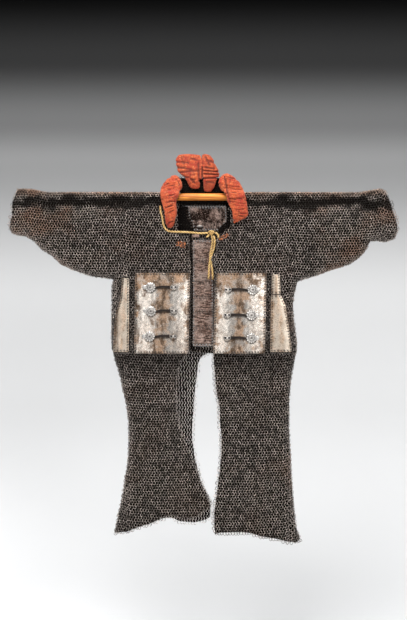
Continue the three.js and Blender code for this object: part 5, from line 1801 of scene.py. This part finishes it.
PLATE_FINISHES = {
    "plate_front": big_plate_finish, "plate_side": side_plate_finish, "spine": lame_finish,
    "neck": neck_plate_finish,
}
for name, (plate, links) in plates.items():
    dress(plate, next(made for start, made in PLATE_FINISHES.items() if name.startswith(start)))
    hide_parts(name)
    dress(links, rings_finish)
for name, part in clasps.items():
    dress(part, clasp_finish)
    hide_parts(name)
for name, pad in collar.items():
    dress(pad, collar_finish)
    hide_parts(name)
for name, cord in lace.items():
    dress(cord, lace_finish)
    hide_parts(name)
SMALL_FINISHES = {"leather": leather_finish, "neck": clasp_finish, "back": lame_finish}
for name, part in small.items():
    kind = name.split("_")[0]
    dress(part, SMALL_FINISHES[kind])
    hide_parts(name)
dress(rod, wood_finish)
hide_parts("rod")


# %% [markdown]
# ## Stage and light
#
# The photograph has a plain backdrop that falls off from pale at the foot to grey at the top, and soft
# light from above and in front. A swept sheet behind and below the shirt and large lamps do it. The
# sheet has one side only, so from behind it is clear and the back of the shirt shows.

# %% Stage
FLOOR_Z = -1.35
WALL_Y = 0.9
SWEEP = 0.8  # radius of the bend from floor to wall
profile = [(-7.0, FLOOR_Z), (WALL_Y - SWEEP, FLOOR_Z)]
profile += [
    (WALL_Y - SWEEP + SWEEP * math.sin(angle), FLOOR_Z + SWEEP * (1 - math.cos(angle)))
    for angle in np.linspace(0.15, math.pi / 2, 12)
]
profile += [(WALL_Y, height) for height in (0.0, 1.0, 4.0)]
sweep_points = np.array([[(x, y, z) for x in np.linspace(-6, 6, 5)] for y, z in profile])
backdrop = sheet_of("backdrop", sweep_points)
stage_finish = Finish("backdrop_paper", 0.95, 0.0)
height = stage_finish.plus(stage_finish.times(stage_finish.place(2), 0.4), 0.6)
SHADE_STOPS = (
    (0.06, 0.97), (0.2, 0.88), (0.38, 0.70), (0.49, 0.645), (0.657, 0.25), (0.703, 0.14), (0.774, 0.026),
    (0.85, 0.002),
)
stage_finish.colour(stage_finish.steps(height, *SHADE_STOPS))
from_behind = stage_finish.node("ShaderNodeNewGeometry").outputs["Backfacing"]
stage_finish.join(stage_finish.math("SUBTRACT", 1.0, from_behind), stage_finish.shader.inputs["Alpha"])
stage_finish.shader.inputs["Specular IOR Level"].default_value = 0.0
backdrop.data.materials.append(stage_finish.material)

# %% Lamps
def lamp(name, place, aim, size, power):
    data = bpy.data.lights.new(name, "AREA")
    data.shape = "RECTANGLE"
    data.size, data.size_y = size
    data.energy = power
    obj = bpy.data.objects.new(name, data)
    obj.location = place
    direction = np.array(aim) - np.array(place)
    flat = math.hypot(direction[0], direction[1])
    obj.rotation_euler = (math.atan2(flat, -direction[2]), 0, math.atan2(-direction[0], direction[1]))
    bpy.context.scene.collection.objects.link(obj)


lamp("key", (-0.7, -2.0, 2.3), (0, 0, -0.35), (1.8, 1.0), 98)
lamp("fill", (1.6, -2.8, 0.6), (0, 0, -0.4), (1.4, 1.4), 24)
lamp("top", (0, -0.35, 1.6), (0, 0, -0.2), (2.0, 0.4), 22)
for side, power in ((-1, 4.8), (1, 2.4)):
    lamp(f"band{side:+d}", (side * 0.95, -3.0, -0.3), (0, 0, -0.3), (0.62, 1.9), power)
lamp("rear", (0.3, 0.8, 1.5), (0, 0, -0.3), (1.8, 0.5), 15)
world = bpy.data.worlds.new("studio")
world.use_nodes = True
background = world.node_tree.nodes["Background"]
background.inputs["Color"].default_value = (0.80, 0.84, 0.88, 1)
background.inputs["Strength"].default_value = 0.26
bpy.context.scene.world = world
bpy.context.scene.view_settings.view_transform = "Standard"
print("lamps and world ready")
